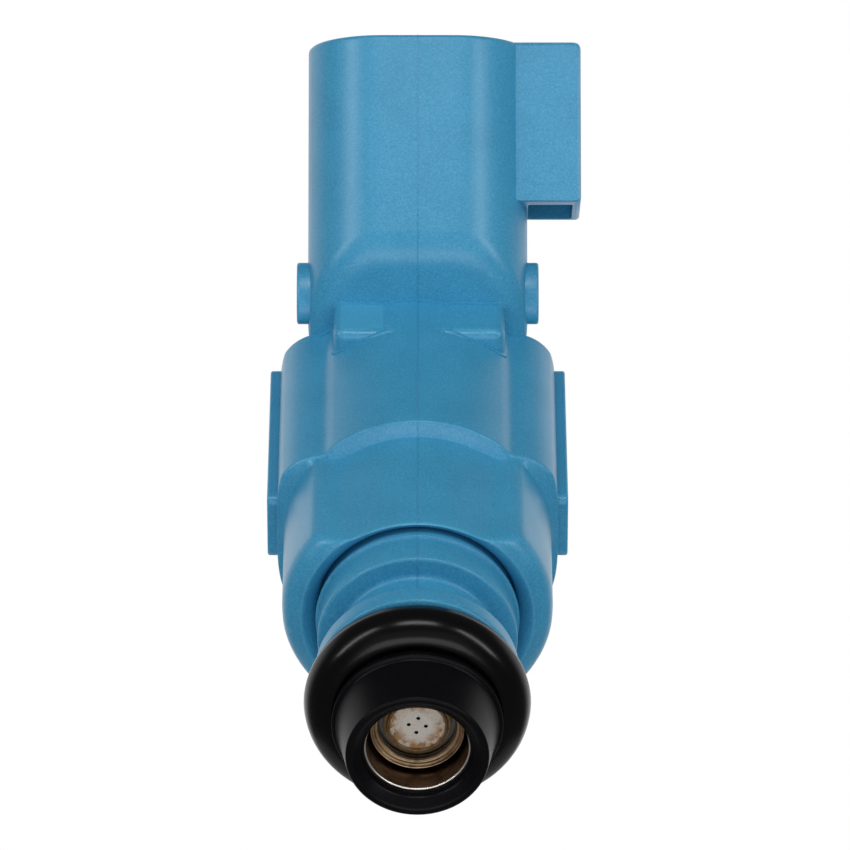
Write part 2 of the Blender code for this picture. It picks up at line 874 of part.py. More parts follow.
def coil_bobbin():
    tube = passage_radius + bobbin_wall
    turned(
        "coil_bobbin",
        [
            (coil_front, passage_radius),
            (coil_front, bobbin_flange_radius),
            (coil_front + bobbin_flange, bobbin_flange_radius),
            (coil_front + bobbin_flange, tube),
            (coil_back - bobbin_flange, tube),
            (coil_back - bobbin_flange, bobbin_flange_radius),
            (coil_back, bobbin_flange_radius),
            (coil_back, passage_radius),
        ],
        bobbin_plastic,
    )


def coil_winding():
    front, back = coil_front + bobbin_flange + gap, coil_back - bobbin_flange - gap
    turned("coil_winding", ring_points(front, back, winding_bore, winding_radius), copper)


def solenoid_housing():
    """The iron can round the coil, drawn in at the front to meet the sleeve."""
    turned(
        "solenoid_housing",
        [
            (yoke_front, passage_radius),
            (yoke_front, yoke_radius),
            (coil_back, yoke_radius),
            (coil_back, yoke_bore),
            (yoke_front + yoke_end_wall, yoke_bore),
            (yoke_front + yoke_end_wall, passage_radius),
        ],
        dark_steel,
    )


def flux_washer():
    """The washer that closes the can behind the coil, slotted where the terminals leave."""
    washer = turned(
        "flux_washer", ring_points(washer_front, washer_back, passage_radius, yoke_radius), dark_steel
    )
    slot = block(
        "washer_slot",
        (-washer_slot_half_width, washer_front - MM, washer_slot_floor),
        (washer_slot_half_width, washer_back + MM, 2 * yoke_radius),
    )
    combine(washer, slot, "DIFFERENCE")


def main():
    overmould()
    tip_cap()
    o_ring("lower_o_ring", 0.0)
    valve_sleeve()
    plate_holder()
    orifice_plate()
    valve_seat()
    valve_ball()
    needle_guide()
    needle_tube()
    armature()
    return_spring()
    adjusting_sleeve()
    inlet_tube()
    nonmagnetic_ring()
    coil_bobbin()
    coil_winding()
    solenoid_housing()
    flux_washer()
    terminal("terminal_left", -1, 0.0, tinned_brass)
    terminal("terminal_right", 1, 0.0, tinned_brass)
    upper_support_ring()
    o_ring("upper_o_ring", ring_spacing)
    inlet_filter()


main()
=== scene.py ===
"""A port fuel injector: the finished surfaces of its pieces, and the studio that it stands in.

The spray axis runs along Y, with the nozzle at -Y, the fuel inlet at +Y and the plug socket
leaning over the top. All lengths are in metres.
"""

import logging
import math
from abc import ABC, abstractmethod
from collections.abc import Callable, Iterable, Sequence
from dataclasses import dataclass, replace
from enum import Enum

import bmesh
import bpy
from mathutils import Matrix, Vector


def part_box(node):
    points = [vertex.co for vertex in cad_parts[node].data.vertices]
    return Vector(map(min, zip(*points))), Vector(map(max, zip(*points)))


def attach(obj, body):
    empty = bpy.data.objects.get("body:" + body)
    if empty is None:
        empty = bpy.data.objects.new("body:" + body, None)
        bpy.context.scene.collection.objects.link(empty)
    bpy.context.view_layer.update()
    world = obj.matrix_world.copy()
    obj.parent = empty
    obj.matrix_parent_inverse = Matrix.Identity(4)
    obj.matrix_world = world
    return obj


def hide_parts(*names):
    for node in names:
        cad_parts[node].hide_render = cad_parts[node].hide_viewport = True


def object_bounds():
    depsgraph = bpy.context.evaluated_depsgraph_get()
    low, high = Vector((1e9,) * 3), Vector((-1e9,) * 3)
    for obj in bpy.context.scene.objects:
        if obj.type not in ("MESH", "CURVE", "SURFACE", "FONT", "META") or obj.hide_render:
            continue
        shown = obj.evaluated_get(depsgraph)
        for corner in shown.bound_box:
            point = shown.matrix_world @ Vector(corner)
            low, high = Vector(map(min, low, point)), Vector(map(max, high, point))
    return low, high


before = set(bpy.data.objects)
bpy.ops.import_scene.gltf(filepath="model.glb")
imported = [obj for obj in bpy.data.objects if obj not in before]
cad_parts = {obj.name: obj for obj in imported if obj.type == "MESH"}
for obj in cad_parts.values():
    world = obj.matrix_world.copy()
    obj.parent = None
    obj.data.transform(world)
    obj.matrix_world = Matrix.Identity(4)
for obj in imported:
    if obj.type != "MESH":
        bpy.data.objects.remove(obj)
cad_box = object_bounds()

MM = 0.001
GAP = 0.25 * MM
QUARTER = math.pi / 2
ALONG_Y = Matrix.Rotation(QUARTER, 4, "X")  # lays a shape that stands on Z along the spray axis
TINY = 1e-3  # the least sine or cosine that a size is divided by
SAME_POINT = 0.2e-6  # points closer than this are one
SAME_PLANE = 1e-7  # a point this close to a plane lies on it

logging.basicConfig(level=logging.INFO, format="%(message)s")
log = logging.getLogger("injector")

Color = tuple[float, float, float]
Outline = list[tuple[float, float]]
Corner = tuple[float, float, float]
Owner = bpy.types.Material | bpy.types.World
Solid = bmesh.types.BMesh
Edge = bmesh.types.BMEdge
Vert = bmesh.types.BMVert
EdgeTest = Callable[[Edge], bool]
Ring = Callable[[float], float]
Station = tuple[float, Ring]


class Body(Enum):
    """The two bodies that pieces ride on."""

    CASE = "injector_body"
    NEEDLE = "needle"


# === shader graphs ============================================================================


class Signal:
    """A node's output that can be added, multiplied and compared like a number."""

    def __init__(self, graph: "Graph", socket: bpy.types.NodeSocket) -> None:
        """Keeps the graph, so that an expression can add its nodes there."""
        self.graph = graph
        self.socket = socket

    def __add__(self, other: "Signal | float") -> "Signal":
        """self + other"""
        return self.graph.math("ADD", self, other)

    __radd__ = __add__

    def __mul__(self, other: "Signal | float") -> "Signal":
        """self * other"""
        return self.graph.math("MULTIPLY", self, other)

    __rmul__ = __mul__

    def __sub__(self, other: "Signal | float") -> "Signal":
        """self - other"""
        return self.graph.math("SUBTRACT", self, other)

    def __rsub__(self, other: float) -> "Signal":
        """other - self"""
        return self.graph.math("SUBTRACT", other, self)

    def __pow__(self, other: float) -> "Signal":
        """self to a power"""
        return self.graph.math("POWER", self, other)

    def __abs__(self) -> "Signal":
        """The size of self, without its sign."""
        return self.graph.math("ABSOLUTE", self)

    def step(self, low: float, high: float) -> "Signal":
        """Rises smoothly from 0 at low to 1 at high.

        Args:
            low: where the rise starts.
            high: where it ends.

        Returns:
            The clamped, smoothed value.
        """
        return self.graph.node(
            "ShaderNodeMapRange",
            {"interpolation_type": "SMOOTHSTEP"},
            {"Value": self, "From Min": low, "From Max": high},
        )


class Graph:
    """The node tree of one material or of the studio's air, with its shader."""

    SHARE, FIRST, SECOND = 0, 6, 7  # the Mix node's inputs for colours
    MIXED = 2  # and its output

    def __init__(self, owner: Owner, shader: str = "Principled BSDF") -> None:
        """Turns on the owner's nodes and finds its shader."""
        owner.use_nodes = True
        self.owner = owner
        self.tree = owner.node_tree
        self.shader = self.tree.nodes[shader]

    def node(
        self,
        kind: str,
        settings: dict[str, object] | None = None,
        inputs: dict[str | int, object] | None = None,
        out: str | int = 0,
    ) -> Signal:
        """Adds one node.

        Args:
            kind: the node's type.
            settings: its properties, set first.
            inputs: a value or a signal for each named or numbered socket.
            out: the output wanted.

        Returns:
            That output.
        """
        made = self.tree.nodes.new(kind)
        for key, value in (settings or {}).items():
            setattr(made, key, value)
        for key, value in (inputs or {}).items():
            self.feed(made.inputs[key], value)
        return Signal(self, made.outputs[out])

    def feed(self, socket: bpy.types.NodeSocket, value: object) -> None:
        """Links a signal to a socket, or sets a plain value on it."""
        if isinstance(value, Signal):
            self.tree.links.new(value.socket, socket)
        else:
            socket.default_value = value

    def math(self, operation: str, first: object, second: object = 0.0) -> Signal:
        """A Math node on one or two values."""
        return self.node("ShaderNodeMath", {"operation": operation}, {0: first, 1: second})

    def mix(self, share: Signal | float, first: object, second: object) -> Signal:
        """Mixes two colours.

        Args:
            share: how much of the second colour.
            first: a colour or a signal.
            second: a colour or a signal.

        Returns:
            The mixed colour.
        """
        colors = {self.SHARE: share, self.FIRST: rgba(first), self.SECOND: rgba(second)}
        return self.node("ShaderNodeMix", {"data_type": "RGBA"}, colors, self.MIXED)

    def place(self) -> Signal:
        """Where on the object a point lies, in metres."""
        return self.node("ShaderNodeTexCoord", out="Object")

    def split(self, vector: Signal) -> tuple[Signal, Signal, Signal]:
        """A vector's three parts."""
        parts = range(3)
        return tuple(self.node("ShaderNodeSeparateXYZ", inputs={0: vector}, out=n) for n in parts)

    def join(self, x: Signal | float, y: Signal | float) -> Signal:
        """A vector from its first two parts."""
        return self.node("ShaderNodeCombineXYZ", inputs={0: x, 1: y})

    def noise(
        self, size: float, detail: float = 2.0, where: Signal | None = None, rough: float = 0.5
    ) -> Signal:
        """Cloudy noise from 0 to 1.

        Args:
            size: the size of a patch, in metres or in the units of where.
            detail: how many finer octaves it has.
            where: the coordinates, or None for the object's own.
            rough: how strong the finer octaves are.

        Returns:
            The noise's value.
        """
        where = where or self.place()
        inputs = {"Vector": where, "Scale": 1 / size, "Detail": detail, "Roughness": rough}
        return self.node("ShaderNodeTexNoise", inputs=inputs)

    def cells(self, size: float) -> Signal:
        """The distance to the nearest of many scattered points, in cells."""
        return self.node("ShaderNodeTexVoronoi", inputs={"Vector": self.place(), "Scale": 1 / size})

    def bump(self, height: Signal, depth: float, strength: float = 1.0) -> Signal:
        """A Bump node.

        Args:
            height: 0 to 1.
            depth: the height of 1, in metres.
            strength: how much of it shows.

        Returns:
            The normal.
        """
        inputs = {"Height": height, "Distance": depth, "Strength": strength}
        return self.node("ShaderNodeBump", inputs=inputs)

    def done(self, **inputs: object) -> Owner:
        """Feeds the shader's sockets, named with underscores for spaces, and returns the owner."""
        for key, value in inputs.items():
            self.feed(self.shader.inputs[key.replace("_", " ")], rgba(value))
        return self.owner


def rgba(color: object) -> object:
    """Gives a three-part colour its fourth part, and leaves anything else alone."""
    return (*color, 1.0) if isinstance(color, tuple) and len(color) == 3 else color


# === finishes =================================================================================


@dataclass(frozen=True)
class Finish(ABC):
    """The look of one material, and the record's slot that it belongs to."""

    slot: str

    @abstractmethod
    def build(self, graph: Graph) -> bpy.types.Material:
        """Fills the graph and returns its material."""

    def material(self) -> bpy.types.Material:
        """The finish's material, made once."""
        name = f"{self.slot}_finish"
        return bpy.data.materials.get(name) or self.build(Graph(bpy.data.materials.new(name)))


@dataclass(frozen=True)
class MouldedPlastic(Finish):
    """Glass-filled plastic from an eroded mould: satin, with a fine fleck, a parting line, and pale
    convex edges that are partly wear and partly a painted highlight.
    """

    color: Color
    pale: Color
    deep: Color
    roughness: float = 0.34
    gloss: float = 0.5
    fleck: float = 0.12 * MM
    flecked: float = 0.5
    grain_depth: float = 0.012 * MM
    cloud: float = 3.5 * MM
    clouded: float = 0.3
    # how pale the convex edges are painted: partly wear, partly painted highlight
    worn_and_edge_lit: float = 0.35
    seam: bool = False
    seam_shade: float = 0.2

    def build(self, graph: Graph) -> bpy.types.Material:
        """See Finish."""
        fine = graph.noise(self.fleck, 2.0, rough=0.7)
        grit = graph.noise(self.fleck * 0.55, 1.0)
        cloud = graph.noise(self.cloud, 3.0)
        color = graph.mix(cloud.step(0.35, 0.7) * self.clouded, self.color, self.deep)
        color = graph.mix(fine.step(0.5, 0.68) * self.flecked, color, self.pale)
        color = graph.mix(fine.step(0.5, 0.32) * self.flecked, color, self.deep)
        color = graph.mix(grit.step(0.6, 0.8) * self.flecked, color, self.pale)
        # convex edges turn pale: partly wear, partly a painted highlight along lips and edges
        edge_wear_and_highlight = graph.node("ShaderNodeNewGeometry", out="Pointiness").step(0.52, 0.6)
        color = graph.mix(edge_wear_and_highlight * self.worn_and_edge_lit, color, self.pale)
        if self.seam:
            x, _, _ = graph.split(graph.place())
            line = 1 - abs(x).step(0.02 * MM, 0.07 * MM)
            color = graph.mix(line * self.seam_shade, color, self.deep)
        rough = self.roughness + (fine - 0.5) * 0.2 + (cloud - 0.5) * 0.08
        return graph.done(
            Base_Color=color,
            Roughness=rough,
            Normal=graph.bump(fine * 0.6 + grit * 0.4, self.grain_depth, 0.7),
            Specular_IOR_Level=self.gloss,
        )


@dataclass(frozen=True)
class SealRubber(Finish):
    """Glossy black seal rubber with a faint bloom and dust."""

    color: Color = (0.0013, 0.0011, 0.0017)
    bloom: Color = (0.0026, 0.0023, 0.0032)
    dust: Color = (0.2, 0.19, 0.2)
    dusty: float = 0.03
    roughness: float = 0.15

    def build(self, graph: Graph) -> bpy.types.Material:
        """See Finish."""
        cloud = graph.noise(2.2 * MM, 4.0, rough=0.65)
        fine = graph.noise(0.16 * MM, 2.0)
        dust = 1 - graph.cells(0.45 * MM).step(0.02, 0.09)
        color = graph.mix(cloud.step(0.4, 0.75) * 0.5, self.color, self.bloom)
        color = graph.mix(dust * self.dusty, color, self.dust)
        rough = self.roughness + cloud * 0.08 + fine * 0.04
        return graph.done(
            Base_Color=color,
            Roughness=rough,
            Normal=graph.bump(fine, 0.004 * MM, 0.4),
            Specular_IOR_Level=0.22,
        )


@dataclass(frozen=True)
class TurnedMetal(Finish):
    """Metal with fine rings from the lathe, a tarnish in patches, and a pale painted highlight on
    whatever lies ahead of a place along the axis.
    """

    color: Color
    tarnish: Color
    roughness: float = 0.25
    tarnished: float = 0.3
    ring: float = 0.05 * MM
    ring_depth: float = 0.004 * MM
    patch: float = 1.6 * MM
    # painted highlight: its pale colour, and the place along the axis ahead of which it is painted
    edge_highlight: Color = (0.92, 0.9, 0.86)
    edge_highlight_before: float = -0.1

    def build(self, graph: Graph) -> bpy.types.Material:
        """See Finish."""
        x, y, z = graph.split(graph.place())
        radius = (x**2.0 + z**2.0) ** 0.5
        rings = graph.noise(self.ring, 2.0, graph.join(y, radius))
        patches = graph.noise(self.patch, 4.0, rough=0.6)
        color = graph.mix(patches.step(0.42, 0.68) * self.tarnished, self.color, self.tarnish)
        # painted highlight: everything ahead of that place is painted pale, for the light that a
        # bright front edge catches
        edge_highlight = 1 - y.step(self.edge_highlight_before, self.edge_highlight_before + 0.04 * MM)
        color = graph.mix(edge_highlight, color, self.edge_highlight)
        rough = self.roughness + (rings - 0.5) * 0.18 + patches * 0.1
        return graph.done(
            Base_Color=color,
            Roughness=rough,
            Metallic=1.0,
            Normal=graph.bump(rings, self.ring_depth, 0.5),
        )


@dataclass(frozen=True)
class StainedPlate(Finish):
    """The dull orifice plate: bare in the middle, stained nearer its rim and brown outside it, with
    near-black painted shade inside its spray holes.
    """

    color: Color = (0.92, 0.88, 0.8)
    stain: Color = (0.5, 0.27, 0.1)
    soot: Color = (0.2, 0.15, 0.1)
    varnish: Color = (0.17, 0.11, 0.05)
    # painted shade: the near-black colour of the spray holes' walls
    inside: Color = (0.004, 0.003, 0.002)
    dry_radius: float = 0.75 * MM
    rim_radius: float = 1.72 * MM
    face: float = 0.0

    def build(self, graph: Graph) -> bpy.types.Material:
        """See Finish."""
        x, y, z = graph.split(graph.place())
        radius = (x**2.0 + z**2.0) ** 0.5
        outer = radius.step(self.dry_radius, self.rim_radius)
        clouds = graph.noise(0.75 * MM, 4.0, rough=0.62)
        fine = graph.noise(0.12 * MM, 3.0)
        rings = graph.noise(0.07 * MM, 1.0, graph.join(radius, 0.0))
        stain = (clouds.step(0.42, 0.6) + 0.35) * outer
        color = graph.mix(stain * 0.85, self.color, self.stain)
        soot = graph.noise(0.4 * MM, 3.0).step(0.58, 0.74) * outer
        color = graph.mix(soot * 0.75, color, self.soot)
        color = graph.mix(fine.step(0.5, 0.75) * 0.3, color, self.soot)
        brown = radius.step(self.rim_radius, self.rim_radius + 0.1 * MM)
        color = graph.mix(brown * (0.72 + rings.step(0.4, 0.6) * 0.28), color, self.varnish)
        # painted shade: behind the plate's face, in the spray holes, the colour is painted near
        # black
        inside = y.step(self.face + 0.015 * MM, self.face + 0.05 * MM) * (1 - brown)
        color = graph.mix(inside, color, self.inside)
        return graph.done(
            Base_Color=color,
            Roughness=0.5 + fine * 0.2 - brown * 0.18,
            Metallic=0.1 + brown * 0.7,
            Normal=graph.bump(fine, 0.006 * MM, 0.6),
        )


@dataclass(frozen=True)
class WoundWire(Finish):
    """Enamelled wire: clear red-brown varnish over copper, each turn a little different."""

    color: Color = (0.62, 0.22, 0.08)
    dark: Color = (0.3, 0.08, 0.03)
    turn: float = 0.3 * MM

    def build(self, graph: Graph) -> bpy.types.Material:
        """See Finish."""
        _, y, _ = graph.split(graph.place())
        turns = graph.noise(self.turn, 0.0, graph.join(y, 0.0))
        varnish = graph.noise(0.8 * MM, 3.0)
        color = graph.mix(turns.step(0.35, 0.65), self.color, self.dark)
        rough = 0.22 + varnish * 0.15
        return graph.done(Base_Color=color, Roughness=rough, Metallic=0.85, Coat_Weight=0.5)


@dataclass(frozen=True)
class WovenCloth(Finish):
    """The filter's fine square weave, wrapped round the axis."""

    color: Color = (0.66, 0.65, 0.6)
    shade: Color = (0.25, 0.24, 0.21)
    pitch: float = 0.12 * MM
    radius: float = 1.7 * MM

    def build(self, graph: Graph) -> bpy.types.Material:
        """See Finish."""
        x, y, z = graph.split(graph.place())
        around = graph.math("ARCTAN2", z, x) * self.radius
        turn = math.tau / self.pitch
        warp = graph.math("SINE", y * turn)
        weft = graph.math("SINE", around * turn)
        weave = warp * weft * 0.5 + 0.5
        color = graph.mix(weave.step(0.25, 0.75), self.shade, self.color)
        rough, normal = 0.7 + weave * 0.1, graph.bump(weave, 0.03 * MM)
        return graph.done(Base_Color=color, Roughness=rough, Normal=normal)


BLUE_PLASTIC = MouldedPlastic(
    "blue_plastic",
    color=(0.052, 0.33, 0.57),
    pale=(0.1, 0.46, 0.7),
    deep=(0.026, 0.24, 0.44),
    seam=True,
)
BLACK_PLASTIC = MouldedPlastic(
    "black_plastic",
    color=(0.0017, 0.0014, 0.0024),
    pale=(0.0055, 0.005, 0.0068),
    deep=(0.001, 0.0008, 0.0014),
    roughness=0.34,
    gloss=0.12,
    grain_depth=0.003 * MM,
)
BOBBIN_PLASTIC = MouldedPlastic(
    "bobbin_plastic",
    color=(0.05, 0.05, 0.052),
    pale=(0.12, 0.12, 0.12),
    deep=(0.025, 0.025, 0.027),
    roughness=0.5,
)
FILTER_PLASTIC = MouldedPlastic(
    "filter_plastic",
    color=(0.72, 0.7, 0.64),
    pale=(0.8, 0.79, 0.75),
    deep=(0.6, 0.57, 0.5),
    roughness=0.45,
)
RUBBER = SealRubber("rubber")
SLEEVE_STEEL = TurnedMetal(
    "steel",
    color=(0.3, 0.21, 0.16),
    tarnish=(0.07, 0.035, 0.022),
    tarnished=0.85,
    # the sleeve's front edge is painted pale as a painted highlight
    edge_highlight_before=-4.8 * MM,
)
BRIGHT_STEEL = TurnedMetal(
    "bright_steel",
    color=(0.56, 0.42, 0.27),
    tarnish=(0.1, 0.06, 0.024),
    roughness=0.32,
    tarnished=0.85,
)
DARK_STEEL = TurnedMetal(
    "dark_steel",
    color=(0.26, 0.26, 0.27),
    tarnish=(0.15, 0.14, 0.14),
    roughness=0.38,
)
SPRING_STEEL = TurnedMetal(
    "spring_steel",
    color=(0.45, 0.45, 0.46),
    tarnish=(0.3, 0.28, 0.25),
    roughness=0.25,
)
SOFT_STEEL = TurnedMetal(
    "nonmagnetic_steel",
    color=(0.55, 0.55, 0.56),
    tarnish=(0.4, 0.38, 0.34),
)
BRASS = TurnedMetal("brass", color=(0.72, 0.52, 0.22), tarnish=(0.45, 0.29, 0.11), roughness=0.24)
TINNED = TurnedMetal(
    "tinned_brass",
    color=(0.7, 0.68, 0.6),
    tarnish=(0.5, 0.45, 0.34),
    roughness=0.28,
)
PLATE = StainedPlate("plate_steel")
COPPER = WoundWire("copper")
CLOTH = WovenCloth("filter_cloth")


# === shaping ==================================================================================


def rounded(corners: Sequence[Corner], steps: int = 5, closed: bool = True) -> Outline:
    """Rounds the corners of an outline.

    Args:
        corners: each corner as (first, second, radius).
        steps: the points that a round corner is cut into.
        closed: whether the last corner joins the first.

    Returns:
        The outline's points.
    """
    outline: Outline = []
    for n, (a, b, radius) in enumerate(corners):
        here = Vector((a, b))
        ends = not closed and n in (0, len(corners) - 1)
        if radius <= 0 or ends:
            outline.append((a, b))
            continue
        before = Vector(corners[n - 1][:2]) - here
        after = Vector(corners[(n + 1) % len(corners)][:2]) - here
        half = before.angle(after) / 2
        reach = min(radius / math.tan(half), 0.49 * before.length, 0.49 * after.length)
        start, stop = here + before.normalized() * reach, here + after.normalized() * reach
        for k in range(steps + 1):
            t = k / steps
            point = start * (1 - t) ** 2 + here * 2 * t * (1 - t) + stop * t**2
            outline.append((point.x, point.y))
    return outline


def turned(outline: Outline, steps: int = 128, closed: bool = True) -> Solid:
    """Spins an outline about the Y axis.

    Args:
        outline: (along, radius) points.
        steps: how many facets go round.
        closed: a closed outline makes a ring, and an open one starts and ends on the axis.

    Returns:
        The closed surface.
    """
    bm = bmesh.new()
    verts = [bm.verts.new((radius, along, 0.0)) for along, radius in outline]
    pairs = list(zip(verts, verts[1:] + verts[:1]))
    edges = [bm.edges.new(pair) for pair in (pairs if closed else pairs[:-1])]
    bmesh.ops.spin(
        bm,
        geom=verts + edges,
        axis=(0, 1, 0),
        cent=(0, 0, 0),
        angle=math.tau,
        steps=steps,
        use_merge=True,
    )
    return settled(bm)


def settled(bm: Solid) -> Solid:
    """Merges doubles, drops flat slivers and turns the faces outwards."""
    bmesh.ops.remove_doubles(bm, verts=bm.verts, dist=SAME_POINT)
    bmesh.ops.dissolve_degenerate(bm, edges=bm.edges, dist=SAME_POINT)
    bmesh.ops.recalc_face_normals(bm, faces=bm.faces)
    return bm


def moved(bm: Solid, place: Matrix) -> Solid:
    """Moves a solid to its place, and turns its faces outwards again."""
    bmesh.ops.transform(bm, matrix=place, verts=bm.verts)
    return settled(bm)


def prism(outline: Outline, low: float, high: float, place: Matrix | None = None) -> Solid:
    """Extrudes an outline along Z.

    Args:
        outline: (x, y) points.
        low: where it starts.
        high: where it ends.
        place: moves it to where it belongs.

    Returns:
        The closed solid.
    """
    bm = bmesh.new()
    face = bm.faces.new([bm.verts.new((x, y, low)) for x, y in outline])
    grown = bmesh.ops.extrude_face_region(bm, geom=[face])["geom"]
    top = [v for v in grown if isinstance(v, Vert)]
    bmesh.ops.translate(bm, verts=top, vec=(0, 0, high - low))
    if place:
        bmesh.ops.transform(bm, verts=bm.verts, matrix=place)
    return settled(bm)


def everything(bm: Solid) -> list[object]:
    """A solid's points, edges and faces."""
    return bm.verts[:] + bm.edges[:] + bm.faces[:]


def drawn_on(bm: Solid, edges: list[Edge]) -> tuple[list[Edge], list[Vert]]:
    """Extrudes a ring of edges on the spot, and gives the new edges and points."""
    grown = bmesh.ops.extrude_edge_only(bm, edges=edges)["geom"]
    new_edges = [part for part in grown if isinstance(part, Edge)]
    return new_edges, [part for part in grown if isinstance(part, Vert)]


def lofted(rings: list[list[Vector]]) -> Solid:
    """A closed solid drawn through rings of points, which all have the same number."""
    bm = bmesh.new()
    face = bm.faces.new([bm.verts.new(point) for point in rings[0]])
    first = face.edges[:]
    for ring in rings[1:]:
        face = bmesh.ops.extrude_discrete_faces(bm, faces=[face])["faces"][0]
        for vert, point in zip(face.verts, ring):
            vert.co = point
    bmesh.ops.contextual_create(bm, geom=first)
    return settled(bm)


def box(low: Sequence[float], high: Sequence[float], place: Matrix | None = None) -> Solid:
    """A box between two corners."""
    outline = [(low[0], low[1]), (high[0], low[1]), (high[0], high[1]), (low[0], high[1])]
    return prism(outline, low[2], high[2], place)


def bevelled(
    bm: Solid,
    width: float,
    wanted: EdgeTest,
    segments: int = 4,
) -> Solid:
    """Rounds some of a solid's edges.

    Args:
        bm: the solid.
        width: the rounding's size.
        wanted: which edges it takes.
        segments: its facets.

    Returns:
        The same solid.
    """
    bm.normal_update()
    bmesh.ops.bevel(
        bm,
        geom=[edge for edge in bm.edges if wanted(edge)],
        offset=width,
        segments=segments,
        profile=0.5,
        affect="EDGES",
        material=-1,
        clamp_overlap=True,
    )
    return settled(bm)


def sharp(limit: float = 30.0) -> EdgeTest:
    """A test for edges whose faces meet at more than a number of degrees."""
    return lambda edge: edge.is_manifold and math.degrees(edge.calc_face_angle(0.0)) > limit


class Cut(Enum):
    """How one solid changes another."""

    ADD = "UNION"
    REMOVE = "DIFFERENCE"
    KEEP = "INTERSECT"


def combined(solid: Solid, tool: Solid, cut: Cut) -> Solid:
    """Joins, cuts or trims one solid with another.

    Args:
        solid: the solid that is changed.
        tool: the solid that changes it.
        cut: how.

    Returns:
        The new solid. Both old ones are freed.
    """
    holders = []
    for bm in (solid, tool):
        mesh = bpy.data.meshes.new("cutting")
        bm.to_mesh(mesh)
        bm.free()
        holders.append(bpy.data.objects.new("cutting", mesh))
        bpy.context.scene.collection.objects.link(holders[-1])
    change = holders[0].modifiers.new("cut", "BOOLEAN")
    change.operation = cut.value
    change.solver = "EXACT"
    change.object = holders[1]
    result = bmesh.new()
    graph = bpy.context.evaluated_depsgraph_get()
    result.from_mesh(holders[0].evaluated_get(graph).to_mesh())
    for holder in holders:
        mesh = holder.data
        bpy.data.objects.remove(holder)
        bpy.data.meshes.remove(mesh)
    return result


def outline_flats(bm: Solid, least: float = MM**2, corners: int = 8) -> None:
    """Makes the borders of large flat faces sharp, so that they shade flat, and splits them up.

    Args:
        bm: the solid.
        least: the area above which a face counts as large.
        corners: the number of corners that it must have more than.
    """
    flats = [face for face in bm.faces if len(face.verts) > corners and face.calc_area() > least]
    for edge in {edge for face in flats for edge in face.edges}:
        edge.smooth = False
    bmesh.ops.triangulate(bm, faces=flats)


def show(
    name: str,
    bm: Solid,
    finish: Finish,
    node: str,
    body: Body = Body.CASE,
    crease: float = 38.0,
) -> None:
    """Makes a finished piece of a mesh and puts it in place of its plain solid.

    Args:
        name: the piece's name.
        bm: its mesh, freed here.
        finish: its material.
        node: the plain solid that it stands for.
        body: the body that it moves with.
        crease: the angle, in degrees, above which an edge stays sharp.
    """
    outline_flats(bm)
    for face in bm.faces:
        face.smooth = True
    for edge in filter(sharp(crease), bm.edges):
        edge.smooth = False
    mesh = bpy.data.meshes.new(name)
    bm.to_mesh(mesh)
    bm.free()
    mesh.materials.append(finish.material())
    piece = bpy.data.objects.new(name, mesh)
    bpy.context.scene.collection.objects.link(piece)
    level_faces = piece.modifiers.new("level_faces", "WEIGHTED_NORMAL")
    level_faces.keep_sharp = True
    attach(piece, body.value)
    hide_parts(node)
    log.info("%s: %d faces", name, len(mesh.polygons))


def ends(node: str) -> tuple[float, float]:
    """Where a piece starts and ends along the spray axis."""
    low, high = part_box(node)
    return low.y, high.y


def reach(node: str) -> float:
    """A round piece's outer radius."""
    low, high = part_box(node)
    return (high.z - low.z) / 2


def tube(
    front: float, back: float, inner: float, outer: float, edge: float = 0.06 * MM
) -> Outline:
    """The outline of a tube with softened ends."""
    corners = [(front, inner, edge), (front, outer, edge), (back, outer, edge), (back, inner, edge)]
    return rounded(corners, 3)


def show_tube(
    name: str,
    bore: float,
    finish: Finish,
    node: str,
    edge: float = 0.06 * MM,
    steps: int = 128,
    body: Body = Body.CASE,
) -> None:
    """Shows a plain tube, as long and as wide as its plain solid.

    Args:
        name: the piece's name.
        bore: its inner radius.
        finish: its material.
        node: the plain solid that it stands for.
        edge: how far its ends are rounded.
        steps: how many facets go round.
        body: the body that it moves with.
    """
    outline = tube(*ends(node), bore, reach(node), edge)
    show(name, turned(outline, steps), finish, node, body)


def smooth_least(a: float, b: float, blend: float) -> float:
    """The smaller of two values, with the corner between them rounded over blend."""
    share = max(blend - abs(a - b), 0.0) / blend
    return min(a, b) - share * share * blend / 4


def smooth_most(a: float, b: float, blend: float) -> float:
    """The larger of two values, with the corner between them filled over blend."""
    return -smooth_least(-a, -b, blend)


# === overmould ================================================================================


@dataclass(frozen=True)
class Section:
    """The body's section: a dome above and below, flat shelves beside it, and round sides."""

    dome: float
    flank: float
    side: float
    shelf: float
    flat: float
    blend: float
    corner: float = 0.0

    def radius(self, angle: float) -> float:
        """The distance from the axis to the surface, at an angle from +X towards +Z."""
        rise, run = max(abs(math.sin(angle)), TINY), max(abs(math.cos(angle)), TINY)
        side = smooth_least(self.side, self.flat / run, self.blend)
        dome = smooth_least(self.dome, self.flank / run, self.blend)
        shelf = min(smooth_least(side, self.shelf / rise, self.blend), self.turn(angle))
        return smooth_most(dome, shelf, self.blend)

    def turn(self, angle: float) -> float:
        """The distance to the round corner between the shelf and the flat, where it has one."""
        if not self.corner:
            return self.side
        middle = Vector((self.flat - self.corner, self.shelf - self.corner))
        toward = Vector((abs(math.cos(angle)), abs(math.sin(angle))))
        along = middle.dot(toward)
        across = max(self.corner**2 - (middle.length_squared - along**2), 0.0)
        point = toward * (along + math.sqrt(across))
        inside = point.x >= middle.x and point.y >= middle.y
        return point.length if inside else self.side


